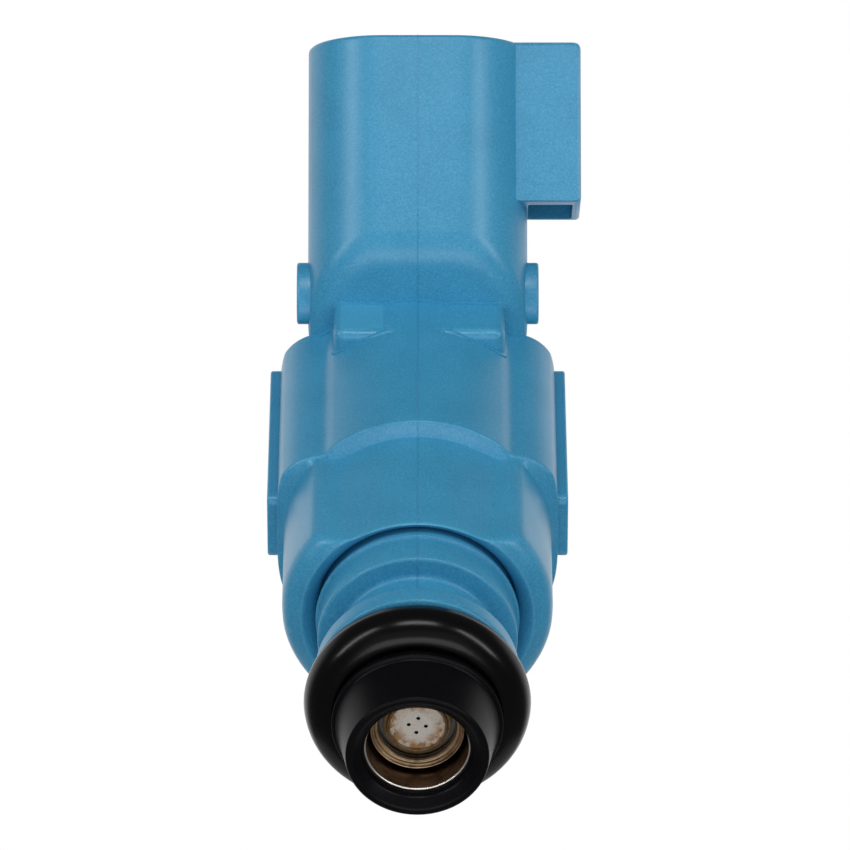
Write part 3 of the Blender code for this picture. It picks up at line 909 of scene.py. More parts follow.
@dataclass
class Overmould:
    """The one-piece blue body: neck, two body steps, plug socket, latch box and inlet stem."""

    facets: int = 288
    round_rings: int = 12
    lower_rings: int = 10
    upper_rings: int = 16
    flange_width: float = 1.4 * MM
    groove_width: float = 3.5 * MM
    groove_radius: float = 5.0 * MM
    flange_radius: float = 6.6 * MM
    collar_radius: float = 6.5 * MM
    collar_width: float = 2.7 * MM
    collar_lip: float = 0.15 * MM
    funnel_radius: float = 7.7 * MM
    funnel_depth: float = 1.7 * MM
    shelf: float = 6.0 * MM
    lower_length: float = 9.7 * MM
    lower_round: float = 1.49 * MM
    lower_dome: float = 7.315 * MM
    lower_flank: float = 4.9 * MM
    dome_draft: float = 0.4 * MM
    dome_round: float = 0.35 * MM
    lower_side: float = 8.885 * MM
    upper_length: float = 15.5 * MM
    upper_dome: float = 8.765 * MM
    upper_flank: float = 6.1 * MM
    upper_side: float = 10.065 * MM
    upper_flat: float = 9.315 * MM
    upper_corner: float = 3.0 * MM
    section_blend: float = 0.8 * MM
    step_round: float = 0.2 * MM
    step_slope: float = 0.3 * MM
    back_round: float = 0.1 * MM
    back_slope: float = 0.02 * MM
    root_radius: float = 7.0 * MM
    root_length: float = 6.2 * MM
    stem_radius: float = 6.0 * MM
    stem_taper: float = 2.0 * MM
    top_flange_width: float = 1.5 * MM
    passage: float = 3.865 * MM
    chamber: float = 6.815 * MM
    pad_height: float = 4.8 * MM
    pad_corner: float = 0.6 * MM
    pad_round: float = 0.16 * MM
    pad_start: float = 0.8 * MM
    pad_overrun: float = 1.2 * MM
    top_pad_left: float = 5.64 * MM
    top_pad_right: float = 5.84 * MM
    top_pad_length: float = 3.6 * MM
    top_pad_setback: float = 0.4 * MM
    top_pad_drop: float = 0.2 * MM
    top_pad_sunk: float = 0.35 * MM
    top_pad_round: float = 0.6 * MM
    top_pad_corner: float = 0.8 * MM
    top_pad_foot: float = 4.0 * MM
    bead_width: float = 0.15 * MM
    bead_height: float = 0.11 * MM
    foot_bead: float = 0.15 * MM
    lean: float = math.radians(43.0)
    socket_half_width: float = 7.4 * MM
    socket_round: float = 5.0 * MM
    rim_setback: float = 13.4 * MM
    rim_height: float = 20.2 * MM
    socket_wall: float = 1.1 * MM
    socket_depth: float = 22.0 * MM
    socket_foot: float = 2.5 * MM
    cavity_depth: float = 13.0 * MM
    foot_round: float = 1.5 * MM
    rim_round: float = 0.3 * MM
    ear_proud: float = 0.75 * MM
    ear_drop: float = 16.8 * MM
    ear_radius: float = 2.1 * MM
    ear_squash: float = 0.62
    ear_shift: float = 0.013 * MM
    ear_round: float = 0.16 * MM
    latch_root: float = 6.35 * MM
    latch_reach: float = 3.6 * MM
    latch_front: float = 2.7 * MM
    latch_back: float = 3.9 * MM
    latch_length: float = 11.0 * MM
    latch_wall: float = 0.55 * MM
    latch_front_wall: float = 1.2 * MM
    latch_bar_drop: float = 2.0 * MM
    latch_bar_length: float = 2.2 * MM
    latch_bar: float = 0.9 * MM
    latch_round: float = 0.3 * MM
    tunnel_round: float = 0.2 * MM
    bar_round: float = 0.12 * MM
    seam_half_width: float = 0.025 * MM
    seam_height: float = 0.03 * MM

    def __post_init__(self) -> None:
        """Takes the places along the axis from the plain solids."""
        self.front, self.back = ends("overmould")
        self.groove_front = self.front + self.flange_width
        self.collar_front = self.groove_front + self.groove_width
        self.lower_front = self.collar_front + self.collar_width
        self.step = self.lower_front + self.lower_length
        self.upper_back = self.step + self.upper_length
        rim = Vector((0.0, self.upper_back + self.rim_setback, self.rim_height))
        self.socket_place = Matrix.Translation(rim) @ Matrix.Rotation(-self.lean, 4, "X")

    def lower_section(self, along: float) -> Section:
        """The lower body's section, which swells from a rounded front edge."""
        ahead = along - self.lower_front
        share = min(ahead / self.lower_round, 1.0)
        swell = math.sqrt(1 - (1 - share) ** 2)
        lip = 1 - math.sqrt(1 - (1 - min(ahead / self.dome_round, 1.0)) ** 2)
        draft = self.dome_draft * ahead / self.lower_length
        return Section(
            dome=self.lower_dome + draft - self.dome_round * lip,
            flank=self.lower_flank,
            side=self.lower_side - self.lower_round * (1 - swell),
            shelf=self.shelf,
            flat=self.upper_flat,
            blend=self.section_blend,
        )

    def neck(self) -> list[Station]:
        """Flange, clip groove and collar, with the hair-thin lip at the collar's back."""
        lip_back = self.lower_front - 0.1 * MM
        low, high = self.collar_radius - 0.5 * self.collar_lip, self.collar_radius + self.collar_lip
        corners = [
            (self.front, 0.5 * self.flange_radius, 0.0),
            (self.front, self.flange_radius, 0.3 * MM),
            (self.groove_front, self.flange_radius, 0.08 * MM),
            (self.groove_front, self.groove_radius, 0.3 * MM),
            (self.collar_front, self.groove_radius, 0.4 * MM),
            (self.collar_front, self.collar_radius, 0.25 * MM),
            (lip_back - 0.34 * MM, self.collar_radius, 0.05 * MM),
            (lip_back - 0.28 * MM, low, 0.04 * MM),
            (lip_back - 0.2 * MM, low, 0.04 * MM),
            (lip_back - 0.14 * MM, high, 0.03 * MM),
            (lip_back, high, 0.05 * MM),
            (lip_back + 0.06 * MM, low, 0.03 * MM),
            (self.lower_front, low, 0.0),
        ]
        return [(along, level(radius)) for along, radius in rounded(corners, 4, closed=False)]

    def stations(self) -> list[Station]:
        """The rings of the barrel, from the neck's front to the stem's back."""
        made = self.neck()
        turns = [QUARTER * n / self.round_rings for n in range(self.round_rings + 1)]
        aheads = [self.lower_round * (1 - math.cos(turn)) for turn in turns]
        rest = self.lower_length - self.lower_round
        for n in range(1, self.lower_rings):
            aheads.append(self.lower_round + n * rest / self.lower_rings)
        for ahead in aheads:
            along = self.lower_front + ahead
            made.append((along, self.lower_section(along).radius))
        low = self.lower_section(self.step).radius
        high = Section(
            dome=self.upper_dome,
            flank=self.upper_flank,
            side=self.upper_side,
            shelf=self.shelf,
            flat=self.upper_flat,
            corner=self.upper_corner,
            blend=self.section_blend,
        ).radius
        root = level(self.root_radius)
        made += self.rise(self.step, low, high, -1)
        for n in range(1, self.upper_rings):
            made.append((self.step + n * self.upper_length / self.upper_rings, high))
        made += self.rise(self.upper_back, root, high, 1)
        root_back = self.upper_back + self.root_length
        groove_back = self.back - self.top_flange_width
        groove_front = groove_back - self.groove_width
        corners = [
            (self.upper_back + 0.5 * MM, self.root_radius, 0.0),
            (root_back, self.root_radius, 1.0 * MM),
            (root_back + self.stem_taper, self.stem_radius, 1.0 * MM),
            (groove_front, self.stem_radius, 0.25 * MM),
            (groove_front, self.groove_radius, 0.35 * MM),
            (groove_back, self.groove_radius, 0.35 * MM),
            (groove_back, self.flange_radius, 0.18 * MM),
            (self.back, self.flange_radius, 0.3 * MM),
            (self.back, 0.5 * self.flange_radius, 0.0),
        ]
        outline = rounded(corners, 5, closed=False)
        return made + [(along, level(radius)) for along, radius in outline]

    def rise(self, along: float, low: Ring, high: Ring, way: int) -> list[Station]:
        """A step between two sections: a sloping face, filled at its foot and rounded at its edge.

        Args:
            along: where its foot stands.
            low: the smaller section.
            high: the larger one.
            way: -1 where the step faces the nozzle, 1 where it faces the inlet.

        Returns:
            Its rings, in order along the axis.
        """
        size, slope = self.step_round, self.step_slope
        if way > 0:
            size, slope = self.back_round, self.back_slope

        def between(share: float, inset: float) -> Ring:
            """A ring part of the way up the step."""

            def radius(angle: float) -> float:
                """The ring's radius at an angle."""
                foot = low(angle)
                tall = max(high(angle) - foot, 0.0)
                return foot + max(tall * share - inset * min(1.0, tall / size), 0.0)

            return radius

        rings = [(0.0, between(0.0, 0.0)), (0.1 * size, between(0.03, 0.0))]
        for n in range(6):
            turn = QUARTER * n / 5
            edge = between(1.0, size * (1 - math.sin(turn)))
            rings.append((slope + size * (1 - math.cos(turn)), edge))
        rings.append((slope + 2 * size, high))
        return [(along - way * ahead, radius) for ahead, radius in rings][::-way]

    def barrel(self, swell: float = 0.0) -> Solid:
        """The body without its socket: a ring that is drawn from station to station.

        Args:
            swell: how much larger it is made all round.

        Returns:
            The closed solid.
        """
        bm = bmesh.new()
        bmesh.ops.create_circle(bm, segments=self.facets, radius=MM, matrix=ALONG_Y)
        first = edges = bm.edges[:]
        for n, (along, radius) in enumerate(self.stations()):
            if n:
                edges, _ = drawn_on(bm, edges)
            for vert in {v for edge in edges for v in edge.verts}:
                angle = math.atan2(vert.co.z, vert.co.x)
                here = radius(angle) + swell
                vert.co = (here * math.cos(angle), along, here * math.sin(angle))
        bmesh.ops.contextual_create(bm, geom=first)
        bmesh.ops.contextual_create(bm, geom=edges)
        return settled(bm)

    def racetrack(self, inset: float = 0.0, steps: int = 40) -> Outline:
        """The socket's oval outline, drawn in from the outside by inset."""
        radius = self.socket_round - inset
        middle = self.socket_half_width - self.socket_round
        outline = []
        for side in (1, -1):
            for n in range(steps + 1):
                angle = side * (math.pi * n / steps - QUARTER)
                x = side * (middle + radius * math.cos(angle))
                outline.append((x, radius * math.sin(angle)))
        return outline

    def socket_block(self) -> Solid:
        """The plug socket before it is hollowed: an oval bar with a rounded foot."""
        face = self.upper_back - self.top_pad_setback
        rim, turn = self.socket_place.translation, self.socket_place.to_3x3()
        axis, back = turn @ Vector((0, 0, 1)), turn @ Vector((0, 1, 0))
        corner = []
        for x, y in self.racetrack():
            start = Vector((x, rim.y, rim.z)) + back * y
            corner.append(start + axis * (face - start.y) / axis.y)
        inward = []
        for n, point in enumerate(corner):
            ahead = corner[(n + 1) % len(corner)] - corner[n - 1]
            inward.append(Vector((-ahead.z, 0, ahead.x)).normalized())
        middle = sum(corner, Vector()) / len(corner)
        side = 1 if inward[0].dot(middle - corner[0]) > 0 else -1
        rings = []
        for n in range(self.round_rings + 1):
            share = n / self.round_rings
            rise, run = self.foot_round * share**2, side * self.foot_round * (1 - share) ** 2
            rings.append([p + axis * rise + way * run for p, way in zip(corner, inward)])
        for n in range(4):
            turn = QUARTER * n / 3
            rise = self.rim_round * (math.sin(turn) - 1)
            oval = self.racetrack(self.rim_round * (1 - math.cos(turn)))
            rings.append([self.socket_place @ Vector((x, y, rise)) for x, y in oval])
        solid = lofted(rings)
        bmesh.ops.bisect_plane(
            solid,
            geom=everything(solid),
            plane_co=(0, 0, self.socket_foot),
            plane_no=(0, 0, -1),
            clear_outer=True,
        )
        bmesh.ops.holes_fill(solid, edges=[e for e in solid.edges if e.is_boundary])
        return settled(solid)

    def socket(self) -> Solid:
        """The plug socket: the oval cup with its latch box."""
        solid = combined(self.socket_block(), self.latch(), Cut.ADD)
        cavity = prism(self.racetrack(self.socket_wall), -self.cavity_depth, MM, self.socket_place)
        return combined(solid, cavity, Cut.REMOVE)

    def latch(self) -> Solid:
        """The latch box beside the socket, with its tunnel and the bar that a latch hooks under."""
        sideways = Matrix(((1, 0, 0, 0), (0, 0, 1, 0), (0, 1, 0, 0), (0, 0, 0, 1)))
        place = self.socket_place @ sideways
        inner, outer = self.latch_root, self.socket_half_width + self.latch_reach
        front, back = -self.latch_front, self.latch_back
        corners = [
            (inner, -self.latch_length, 0.0),
            (outer, -self.latch_length, 0.35 * MM),
            (outer, 0.0, 0.55 * MM),
            (inner, 0.0, 0.0),
        ]
        outline = rounded(corners, 7)
        solid = prism(outline, front, back)

        def at_face(edge: Edge) -> bool:
            """Whether an edge borders the box's front or back, away from its root."""
            heights = {round(v.co.z / MM, 3) for v in edge.verts}
            outside = max(v.co.x for v in edge.verts) > inner + MM / 10
            return len(heights) == 1 and sharp(60.0)(edge) and outside

        def lengthwise(edge: Edge) -> bool:
            """Whether an edge runs along the tunnel."""
            return abs(edge.verts[0].co.y - edge.verts[1].co.y) > MM

        bevelled(solid, self.latch_round, at_face, 2)
        moved(solid, place)
        side, floor = self.socket_half_width + MM / 20, -self.latch_length - MM
        low = (side, floor, front + self.latch_front_wall)
        high = (outer - self.latch_wall, MM, back - self.latch_wall)
        tunnel = bevelled(box(low, high), self.tunnel_round, lengthwise)
        solid = combined(solid, moved(tunnel, place), Cut.REMOVE)
        top = -self.latch_bar_drop
        under = back - self.latch_wall - self.latch_bar
        low = (inner + MM / 2, top - self.latch_bar_length, under)
        high = (outer - self.latch_wall / 2, top, back - self.latch_wall / 2)
        bar = bevelled(box(low, high), self.bar_round, sharp(60.0), 3)
        return combined(solid, moved(bar, place), Cut.ADD)

    def ears(self) -> list[Solid]:
        """The two round bosses low on the socket's sides."""
        made = []
        for side in (-1, 1):
            out = side * (self.socket_half_width + self.ear_proud - MM)
            middle = Vector((out, self.ear_shift, -self.ear_drop))
            boss = bmesh.new()
            bmesh.ops.create_cone(
                boss,
                cap_ends=True,
                segments=64,
                radius1=self.ear_radius,
                radius2=self.ear_radius,
                depth=2 * MM,
                matrix=self.socket_place
                @ Matrix.Translation(middle)
                @ Matrix.Rotation(QUARTER, 4, "Y")
                @ Matrix.Diagonal((1, self.ear_squash, 1, 1)),
            )
            made.append(bevelled(boss, self.ear_round, sharp(60.0), 3))
        return made

    def side_pads(self) -> Solid:
        """The blank marking pads on both flanks, as one bar through the body."""
        low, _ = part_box("overmould")
        start, stop = self.step + self.pad_start, self.upper_back + self.pad_overrun
        half, edge = self.pad_height / 2, self.pad_corner
        corners = [(start, -half, edge), (stop, -half, edge)]
        corners += [(stop, half, edge), (start, half, edge)]
        upright = Matrix(((0, 0, 1, 0), (1, 0, 0, 0), (0, 1, 0, 0), (0, 0, 0, 1)))
        solid = prism(rounded(corners), low.x, -low.x, upright)
        return bevelled(solid, self.pad_round, sharp(60.0))

    def top_pad(self, swell: float = 0.0) -> Solid:
        """The raised pad in front of the socket, which covers the terminals.

        Args:
            swell: how much larger it is made all round.

        Returns:
            The closed solid.
        """
        back = self.upper_back - self.top_pad_setback + self.top_pad_sunk
        front = self.upper_back - self.top_pad_setback - self.top_pad_length
        left, right = -self.top_pad_left - swell, self.top_pad_right + swell
        corners = [
            (left, front - swell, self.top_pad_corner),
            (right, front - swell, self.top_pad_corner),
            (right, back, 0.0),
            (left, back, 0.0),
        ]
        outline = rounded(corners, 8)
        top = self.upper_dome - self.top_pad_drop + swell
        solid = prism(outline, self.top_pad_foot, top)

        def at_top(edge: Edge) -> bool:
            """Whether an edge borders the pad's top, away from its back."""
            on_top = all(abs(v.co.z - top) < MM / 100 for v in edge.verts)
            return on_top and sharp(60.0)(edge) and min(v.co.y for v in edge.verts) < back - MM / 10

        return bevelled(solid, self.top_pad_round + swell, at_top, 8)

    def funnel(self) -> Solid:
        """The hollow that runs in behind the collar, as a tool that cuts it."""
        low = self.collar_radius - 0.5 * self.collar_lip + 0.02 * MM
        wide = self.funnel_radius - low
        front = self.lower_front - 0.03 * MM
        outline = [(front, low), (front, self.funnel_radius)]
        for n in range(1, self.round_rings + 1):
            turn = QUARTER * n / self.round_rings
            along = self.lower_front + self.funnel_depth * (1 - math.cos(turn))
            outline.append((along, self.funnel_radius - wide * math.sin(turn)))
        return turned(outline, self.facets)

    def build(self) -> None:
        """Joins the body's solids, hollows it and raises its parting line."""
        bead = combined(self.top_pad(self.bead_width), self.barrel(self.bead_height), Cut.KEEP)
        foot_bead = combined(self.barrel(self.bead_width), self.top_pad(self.bead_width), Cut.ADD)
        ahead = moved(self.socket_block(), Matrix.Translation((0, -self.foot_bead, 0)))
        foot_bead = combined(foot_bead, ahead, Cut.KEEP)
        solid = self.barrel()
        for tool in (bead, foot_bead, self.side_pads(), self.top_pad(), self.socket()):
            solid = combined(solid, tool, Cut.ADD)
        front = ends("solenoid_housing")[0] - GAP
        back = ends("flux_washer")[1] + GAP
        hollow = turned(
            [
                (self.front - MM, 0.0),
                (self.front - MM, self.passage),
                (front, self.passage),
                (front, self.chamber),
                (back, self.chamber),
                (back, self.passage),
                (self.back + MM, self.passage),
                (self.back + MM, 0.0),
            ],
            96,
            closed=False,
        )
        solid = combined(solid, hollow, Cut.REMOVE)
        for ear in self.ears():
            solid = combined(solid, ear, Cut.ADD)
        solid = combined(solid, self.funnel(), Cut.REMOVE)
        self.raise_seam(solid)
        show("blue_overmould", solid, BLUE_PLASTIC, "overmould", crease=34.0)

    def raise_seam(self, solid: Solid) -> None:
        """Lifts a hair-thin parting line along the middle of the upper surface."""
        outline_flats(solid)
        for side in (-2, -1, 1, 2):
            bmesh.ops.bisect_plane(
                solid,
                geom=everything(solid),
                plane_co=(side * self.seam_half_width, 0, 0),
                plane_no=(1, 0, 0),
                dist=SAME_PLANE,
            )
        solid.normal_update()
        for vert in solid.verts:
            outside = vert.co.z > self.groove_radius - MM / 2
            if abs(vert.co.x) < 1.5 * self.seam_half_width and outside:
                vert.co += vert.normal * self.seam_height


def level(radius: float) -> Ring:
    """A round section."""
    return lambda angle: radius


# === nozzle end ===============================================================================


@dataclass
class NozzleEnd:
    """The cap, the sleeve and what sits inside its front end."""

    sleeve_bore: float = 3.275 * MM
    mouth_depth: float = 0.9 * MM
    cap_bore: float = 3.865 * MM
    cap_wall: float = 0.7 * MM
    flange_rim: float = 0.6 * MM
    holder_bore: float = 2.465 * MM
    holder_step: float = 2.7 * MM
    groove: float = 0.05 * MM
    rim_inner: float = 1.755 * MM
    rim_outer: float = 1.955 * MM
    rim_height: float = 0.2 * MM
    hole_radius: float = 0.13 * MM
    hole_circle: float = 0.55 * MM
    hole_turn: float = math.radians(6.5)
    holes: int = 4

    def cap(self) -> None:
        """The black cap with its funnel mouth and thin flange."""
        front, back = ends("tip_cap")
        flange = back - self.flange_rim
        outer, edge = self.cap_bore + self.cap_wall, reach("tip_cap")
        mouth = self.sleeve_bore + 0.085 * MM
        corners = [
            (front + self.mouth_depth, mouth, 0.03 * MM),
            (front + 0.55 * self.mouth_depth, mouth + 0.12 * MM, 0.35 * MM),
            (front, outer - 0.45 * MM, 0.45 * MM),
            (front, outer, 0.2 * MM),
            (flange, outer + 0.68 * (edge - outer), 0.3 * MM),
            (flange + 0.12 * MM, edge, 0.1 * MM),
            (back, edge, 0.1 * MM),
            (back, self.cap_bore, 0.0),
            (front + self.mouth_depth, self.cap_bore, 0.0),
        ]
        outline = rounded(corners, 7)
        show("black_tip_cap", turned(outline, 160), BLACK_PLASTIC, "tip_cap")

    def sleeve(self) -> None:
        """The steel tube whose bright edge, a painted highlight, shows in the cap's mouth."""
        show_tube("steel_sleeve", self.sleeve_bore, SLEEVE_STEEL, "valve_sleeve", 0.08 * MM)

    def holder(self) -> None:
        """The stepped ring that clamps the plate, with two fine turned grooves."""
        front, back = ends("plate_holder")
        outer = reach("plate_holder")
        rise = (outer - self.holder_bore) / 2
        corners = [
            (back, self.holder_bore, 0.0),
            (front + rise + 0.12 * MM, self.holder_bore, 0.04 * MM),
            (front + rise, self.holder_bore + 0.1 * MM, 0.04 * MM),
            (front + rise, self.holder_step, 0.06 * MM),
            (front + rise / 2, self.holder_step + 0.06 * MM, 0.04 * MM),
            (front + rise / 2 + self.groove, self.holder_step + 0.12 * MM, 0.02 * MM),
            (front + rise / 2, self.holder_step + 0.18 * MM, 0.04 * MM),
            (front, outer - 0.12 * MM, 0.06 * MM),
            (front, outer, 0.06 * MM),
            (back, outer, 0.0),
        ]
        outline = rounded(corners, 4)
        show("plate_clamp_ring", turned(outline), BRIGHT_STEEL, "plate_holder")

    def plate(self) -> None:
        """The orifice plate: a low rim, a fine ring inside it and four spray holes."""
        _, back = ends("orifice_plate")
        front = ends("orifice_plate")[0] + self.rim_height
        corners = [
            (front, 0.0, 0.0),
            (front, self.rim_inner - 0.12 * MM, 0.05 * MM),
            (front - 0.05 * MM, self.rim_inner - 0.06 * MM, 0.03 * MM),
            (front, self.rim_inner, 0.05 * MM),
            (front - self.rim_height, self.rim_inner + 0.04 * MM, 0.05 * MM),
            (front - self.rim_height, self.rim_outer, 0.05 * MM),
            (front, self.rim_outer, 0.05 * MM),
            (front, reach("orifice_plate"), 0.03 * MM),
            (back, reach("orifice_plate"), 0.0),
            (back, 0.0, 0.0),
        ]
        outline = rounded(corners, 4, closed=False)
        solid = turned(outline, closed=False)
        drills = bmesh.new()
        for n in range(self.holes):
            turn = self.hole_turn + math.tau * n / self.holes
            x, z = self.hole_circle * math.sin(turn), self.hole_circle * math.cos(turn)
            bmesh.ops.create_cone(
                drills,
                cap_ends=True,
                segments=32,
                radius1=self.hole_radius,
                radius2=self.hole_radius,
                depth=MM,
                matrix=Matrix.Translation((x, front, z)) @ ALONG_Y,
            )
        solid = combined(solid, drills, Cut.REMOVE)
        # face is the plate's front, behind which the spray holes get painted shade
        show("orifice_disc", solid, replace(PLATE, face=front), "orifice_plate")

    def seat(self) -> None:
        """The valve seat with its cone and ball pocket."""
        front, back = ends("valve_seat")
        hole, pocket, floor = 0.6 * MM, 1.7 * MM, front + 0.8 * MM
        corners = [
            (front, hole, 0.05 * MM),
            (front, reach("valve_seat"), 0.1 * MM),
            (back, reach("valve_seat"), 0.1 * MM),
            (back, pocket, 0.08 * MM),
            (floor + pocket - hole, pocket, 0.1 * MM),
            (floor, hole, 0.05 * MM),
        ]
        outline = rounded(corners, 4)
        show("seat_block", turned(outline), DARK_STEEL, "valve_seat")

    def guide(self) -> None:
        """The slotted ring round the needle."""
        front, back = ends("needle_guide")
        inner, outer = 1.5 * MM, self.sleeve_bore - GAP
        solid = turned(tube(front, back, inner, outer))
        for n in range(4):
            low = (-0.45 * MM, front - MM, (inner + outer) / 2)
            high = (0.45 * MM, back + MM, outer + MM)
            slot = box(low, high, Matrix.Rotation(QUARTER * n, 4, "Y"))
            solid = combined(solid, slot, Cut.REMOVE)
        show("guide_ring", solid, DARK_STEEL, "needle_guide")

    def build(self) -> None:
        """Makes every piece of the nozzle end."""
        self.cap()
        self.sleeve()
        self.holder()
        self.plate()
        self.seat()
        self.guide()


# === seals ====================================================================================


@dataclass
class Seals:
    """The two O-rings and the ring that backs the upper one."""

    cord: float = 1.765 * MM
    flash: float = 0.02 * MM
    support_bore: float = 3.865 * MM

    def o_ring(self, name: str, node: str) -> None:
        """A round cord with a hair of mould flash at its outer and inner edge."""
        front, back = ends(node)
        middle, centre = (front + back) / 2, reach(node) - self.cord
        steps = 64
        outline = []
        for n in range(steps):
            angle = math.tau * n / steps
            edge = max(0.0, 1 - abs(math.sin(angle)) / math.sin(math.tau / steps * 1.2))
            radius = self.cord - self.flash + self.flash * edge
            outline.append((middle + radius * math.sin(angle), centre + radius * math.cos(angle)))
        show(name, turned(outline, 192), RUBBER, node, crease=60.0)

    def build(self) -> None:
        """Makes the seals and the support ring."""
        self.o_ring("lower_seal", "lower_o_ring")
        self.o_ring("upper_seal", "upper_o_ring")
        node, edge = "upper_support_ring", 0.15 * MM
        show_tube("seal_support_ring", self.support_bore, BLACK_PLASTIC, node, edge)


# === needle ===================================================================================


@dataclass
class Needle:
    """The pieces that lift together: ball, tube and armature."""

    ball_radius: float = 1.5 * MM
    tube_bore: float = 0.8 * MM
    fuel_bore: float = 0.9 * MM
    spring_seat: float = 1.62 * MM
    spring_seat_depth: float = 2.4 * MM
    socket: float = 1.55 * MM
    socket_depth: float = 2.05 * MM

    def build(self) -> None:
        """Makes the three pieces."""
        front, back = ends("valve_ball")
        ball = bmesh.new()
        bmesh.ops.create_uvsphere(
            ball,
            u_segments=64,
            v_segments=32,
            radius=self.ball_radius,
            matrix=Matrix.Translation((0, (front + back) / 2, 0)) @ ALONG_Y,
        )
        show("needle_ball", ball, BRIGHT_STEEL, "valve_ball", Body.NEEDLE)
        node, body = "needle_tube", Body.NEEDLE
        show_tube("needle_stem", self.tube_bore, SLEEVE_STEEL, node, steps=64, body=body)
        front, back = ends("armature")
        outer, edge = reach("armature"), 0.08 * MM
        corners = [
            (front, self.socket, edge),
            (front, outer, edge),
            (back, outer, 2 * edge),
            (back, self.spring_seat, edge),
            (back - self.spring_seat_depth, self.spring_seat, edge),
            (back - self.spring_seat_depth, self.fuel_bore, edge),
            (front + self.socket_depth, self.fuel_bore, edge),
            (front + self.socket_depth, self.socket, edge),
        ]
        outline = rounded(corners, 3)
        show("iron_armature", turned(outline), DARK_STEEL, "armature", Body.NEEDLE)


@dataclass
class ReturnSpring:
    """The spring that shuts the needle and the sleeve that sets its preload."""

    wire: float = 0.22 * MM
    turns: int = 8
    sides: int = 12
    steps_per_turn: int = 40
    sleeve_bore: float = 0.95 * MM

    def build(self) -> None:
        """Sweeps the helix a ring at a time, then makes the sleeve."""
        front, back = ends("return_spring")
        radius = reach("return_spring") - self.wire
        first, last = front + self.wire, back - self.wire
        steps = self.turns * self.steps_per_turn
        bm = bmesh.new()
        bmesh.ops.create_circle(bm, segments=self.sides, radius=self.wire)
        start = edges = bm.edges[:]
        start_at = Matrix.Translation((radius, first, 0))
        bmesh.ops.transform(bm, matrix=start_at, verts=bm.verts)
        turn = Matrix.Rotation(-math.tau / self.steps_per_turn, 4, "Y")
        rise = Matrix.Translation((0, (last - first) / steps, 0))
        for _ in range(steps):
            edges, verts = drawn_on(bm, edges)
            bmesh.ops.transform(bm, matrix=rise @ turn, verts=verts)
        bmesh.ops.contextual_create(bm, geom=start)
        bmesh.ops.contextual_create(bm, geom=edges)
        show("coil_spring", settled(bm), SPRING_STEEL, "return_spring")
        show_tube("preload_sleeve", self.sleeve_bore, BRASS, "adjusting_sleeve", steps=64)


# === inlet end ================================================================================


@dataclass
class InletEnd:
    """The inlet tube with its flared lip, the ring that bridges to the nozzle, and the filter."""

    pole_bore: float = 1.75 * MM
    spigot: float = 3.025 * MM
    tube_radius: float = 3.615 * MM
    bore: float = 3.1 * MM
    bore_depth: float = 22.0 * MM
    nose_radius: float = 4.7 * MM
    nose_height: float = 1.6 * MM
    lip_height: float = 1.3 * MM
    bridge_bore: float = 3.275 * MM
    collar_bore: float = 2.35 * MM
    cage_bore: float = 1.95 * MM
    cage_end: float = 1.2 * MM
    window_length: float = 6.4 * MM
    windows: int = 3
    cloth_wall: float = 0.15 * MM

    def build(self) -> None:
        """Makes the tube, the bridge ring and the filter."""
        front, back = ends("inlet_tube")
        shoulder = ends("nonmagnetic_ring")[1] + GAP
        nose = back - self.nose_height
        lip = nose - self.lip_height
        taper = self.bore - self.pole_bore
        corners = [
            (front, self.pole_bore, 0.1 * MM),
            (front, self.spigot, 0.1 * MM),
            (shoulder, self.spigot, 0.0),
            (shoulder, self.tube_radius, 0.1 * MM),
            (lip, self.tube_radius, 0.35 * MM),
            (lip, reach("inlet_tube"), 0.3 * MM),
            (nose, reach("inlet_tube"), 0.5 * MM),
            (back, self.nose_radius, 0.3 * MM),
            (back, self.bore, 0.25 * MM),
            (back - self.bore_depth, self.bore, 0.2 * MM),
            (back - self.bore_depth - taper, self.pole_bore, 0.2 * MM),
        ]
        outline = rounded(corners, 5)
        show("steel_inlet_tube", turned(outline, 160), SLEEVE_STEEL, "inlet_tube")
        outline = tube(*ends("nonmagnetic_ring"), self.bridge_bore, self.tube_radius)
        show("bridge_ring", turned(outline), SOFT_STEEL, "nonmagnetic_ring")
        node, edge = "filter_collar", 0.12 * MM
        show_tube("brass_filter_collar", self.collar_bore, BRASS, node, edge, steps=96)
        self.cage()
        front, back = ends("filter_cloth")
        outer = reach("filter_cloth")
        inner = outer - self.cloth_wall
        outline = [(front, inner), (front, outer), (back, outer), (back, inner)]
        show("filter_mesh_tube", turned(outline, 96), CLOTH, "filter_cloth")

    def cage(self) -> None:
        """The filter's plastic cage, with a window between each two ribs."""
        front, back = ends("filter_cage")
        outer, floor = reach("filter_cage"), front + self.cage_end
        corners = [
            (front, 0.0, 0.0),
            (front, outer, 0.3 * MM),
            (back, outer, 0.08 * MM),
            (back, self.cage_bore, 0.08 * MM),
            (floor, self.cage_bore, 0.1 * MM),
            (floor, 0.0, 0.0),
        ]
        outline = rounded(corners, 4, closed=False)
        solid = turned(outline, 96, closed=False)
        for n in range(self.windows):
            low = (-self.cage_bore / 2, floor + GAP, self.cage_bore / 2)
            high = (self.cage_bore / 2, floor + GAP + self.window_length, outer + MM)
            window = box(low, high, Matrix.Rotation(math.tau * n / self.windows, 4, "Y"))
            solid = combined(solid, bevelled(window, 0.2 * MM, sharp(60.0), 3), Cut.REMOVE)
        show("filter_basket", solid, FILTER_PLASTIC, "filter_cage")


# === solenoid =================================================================================


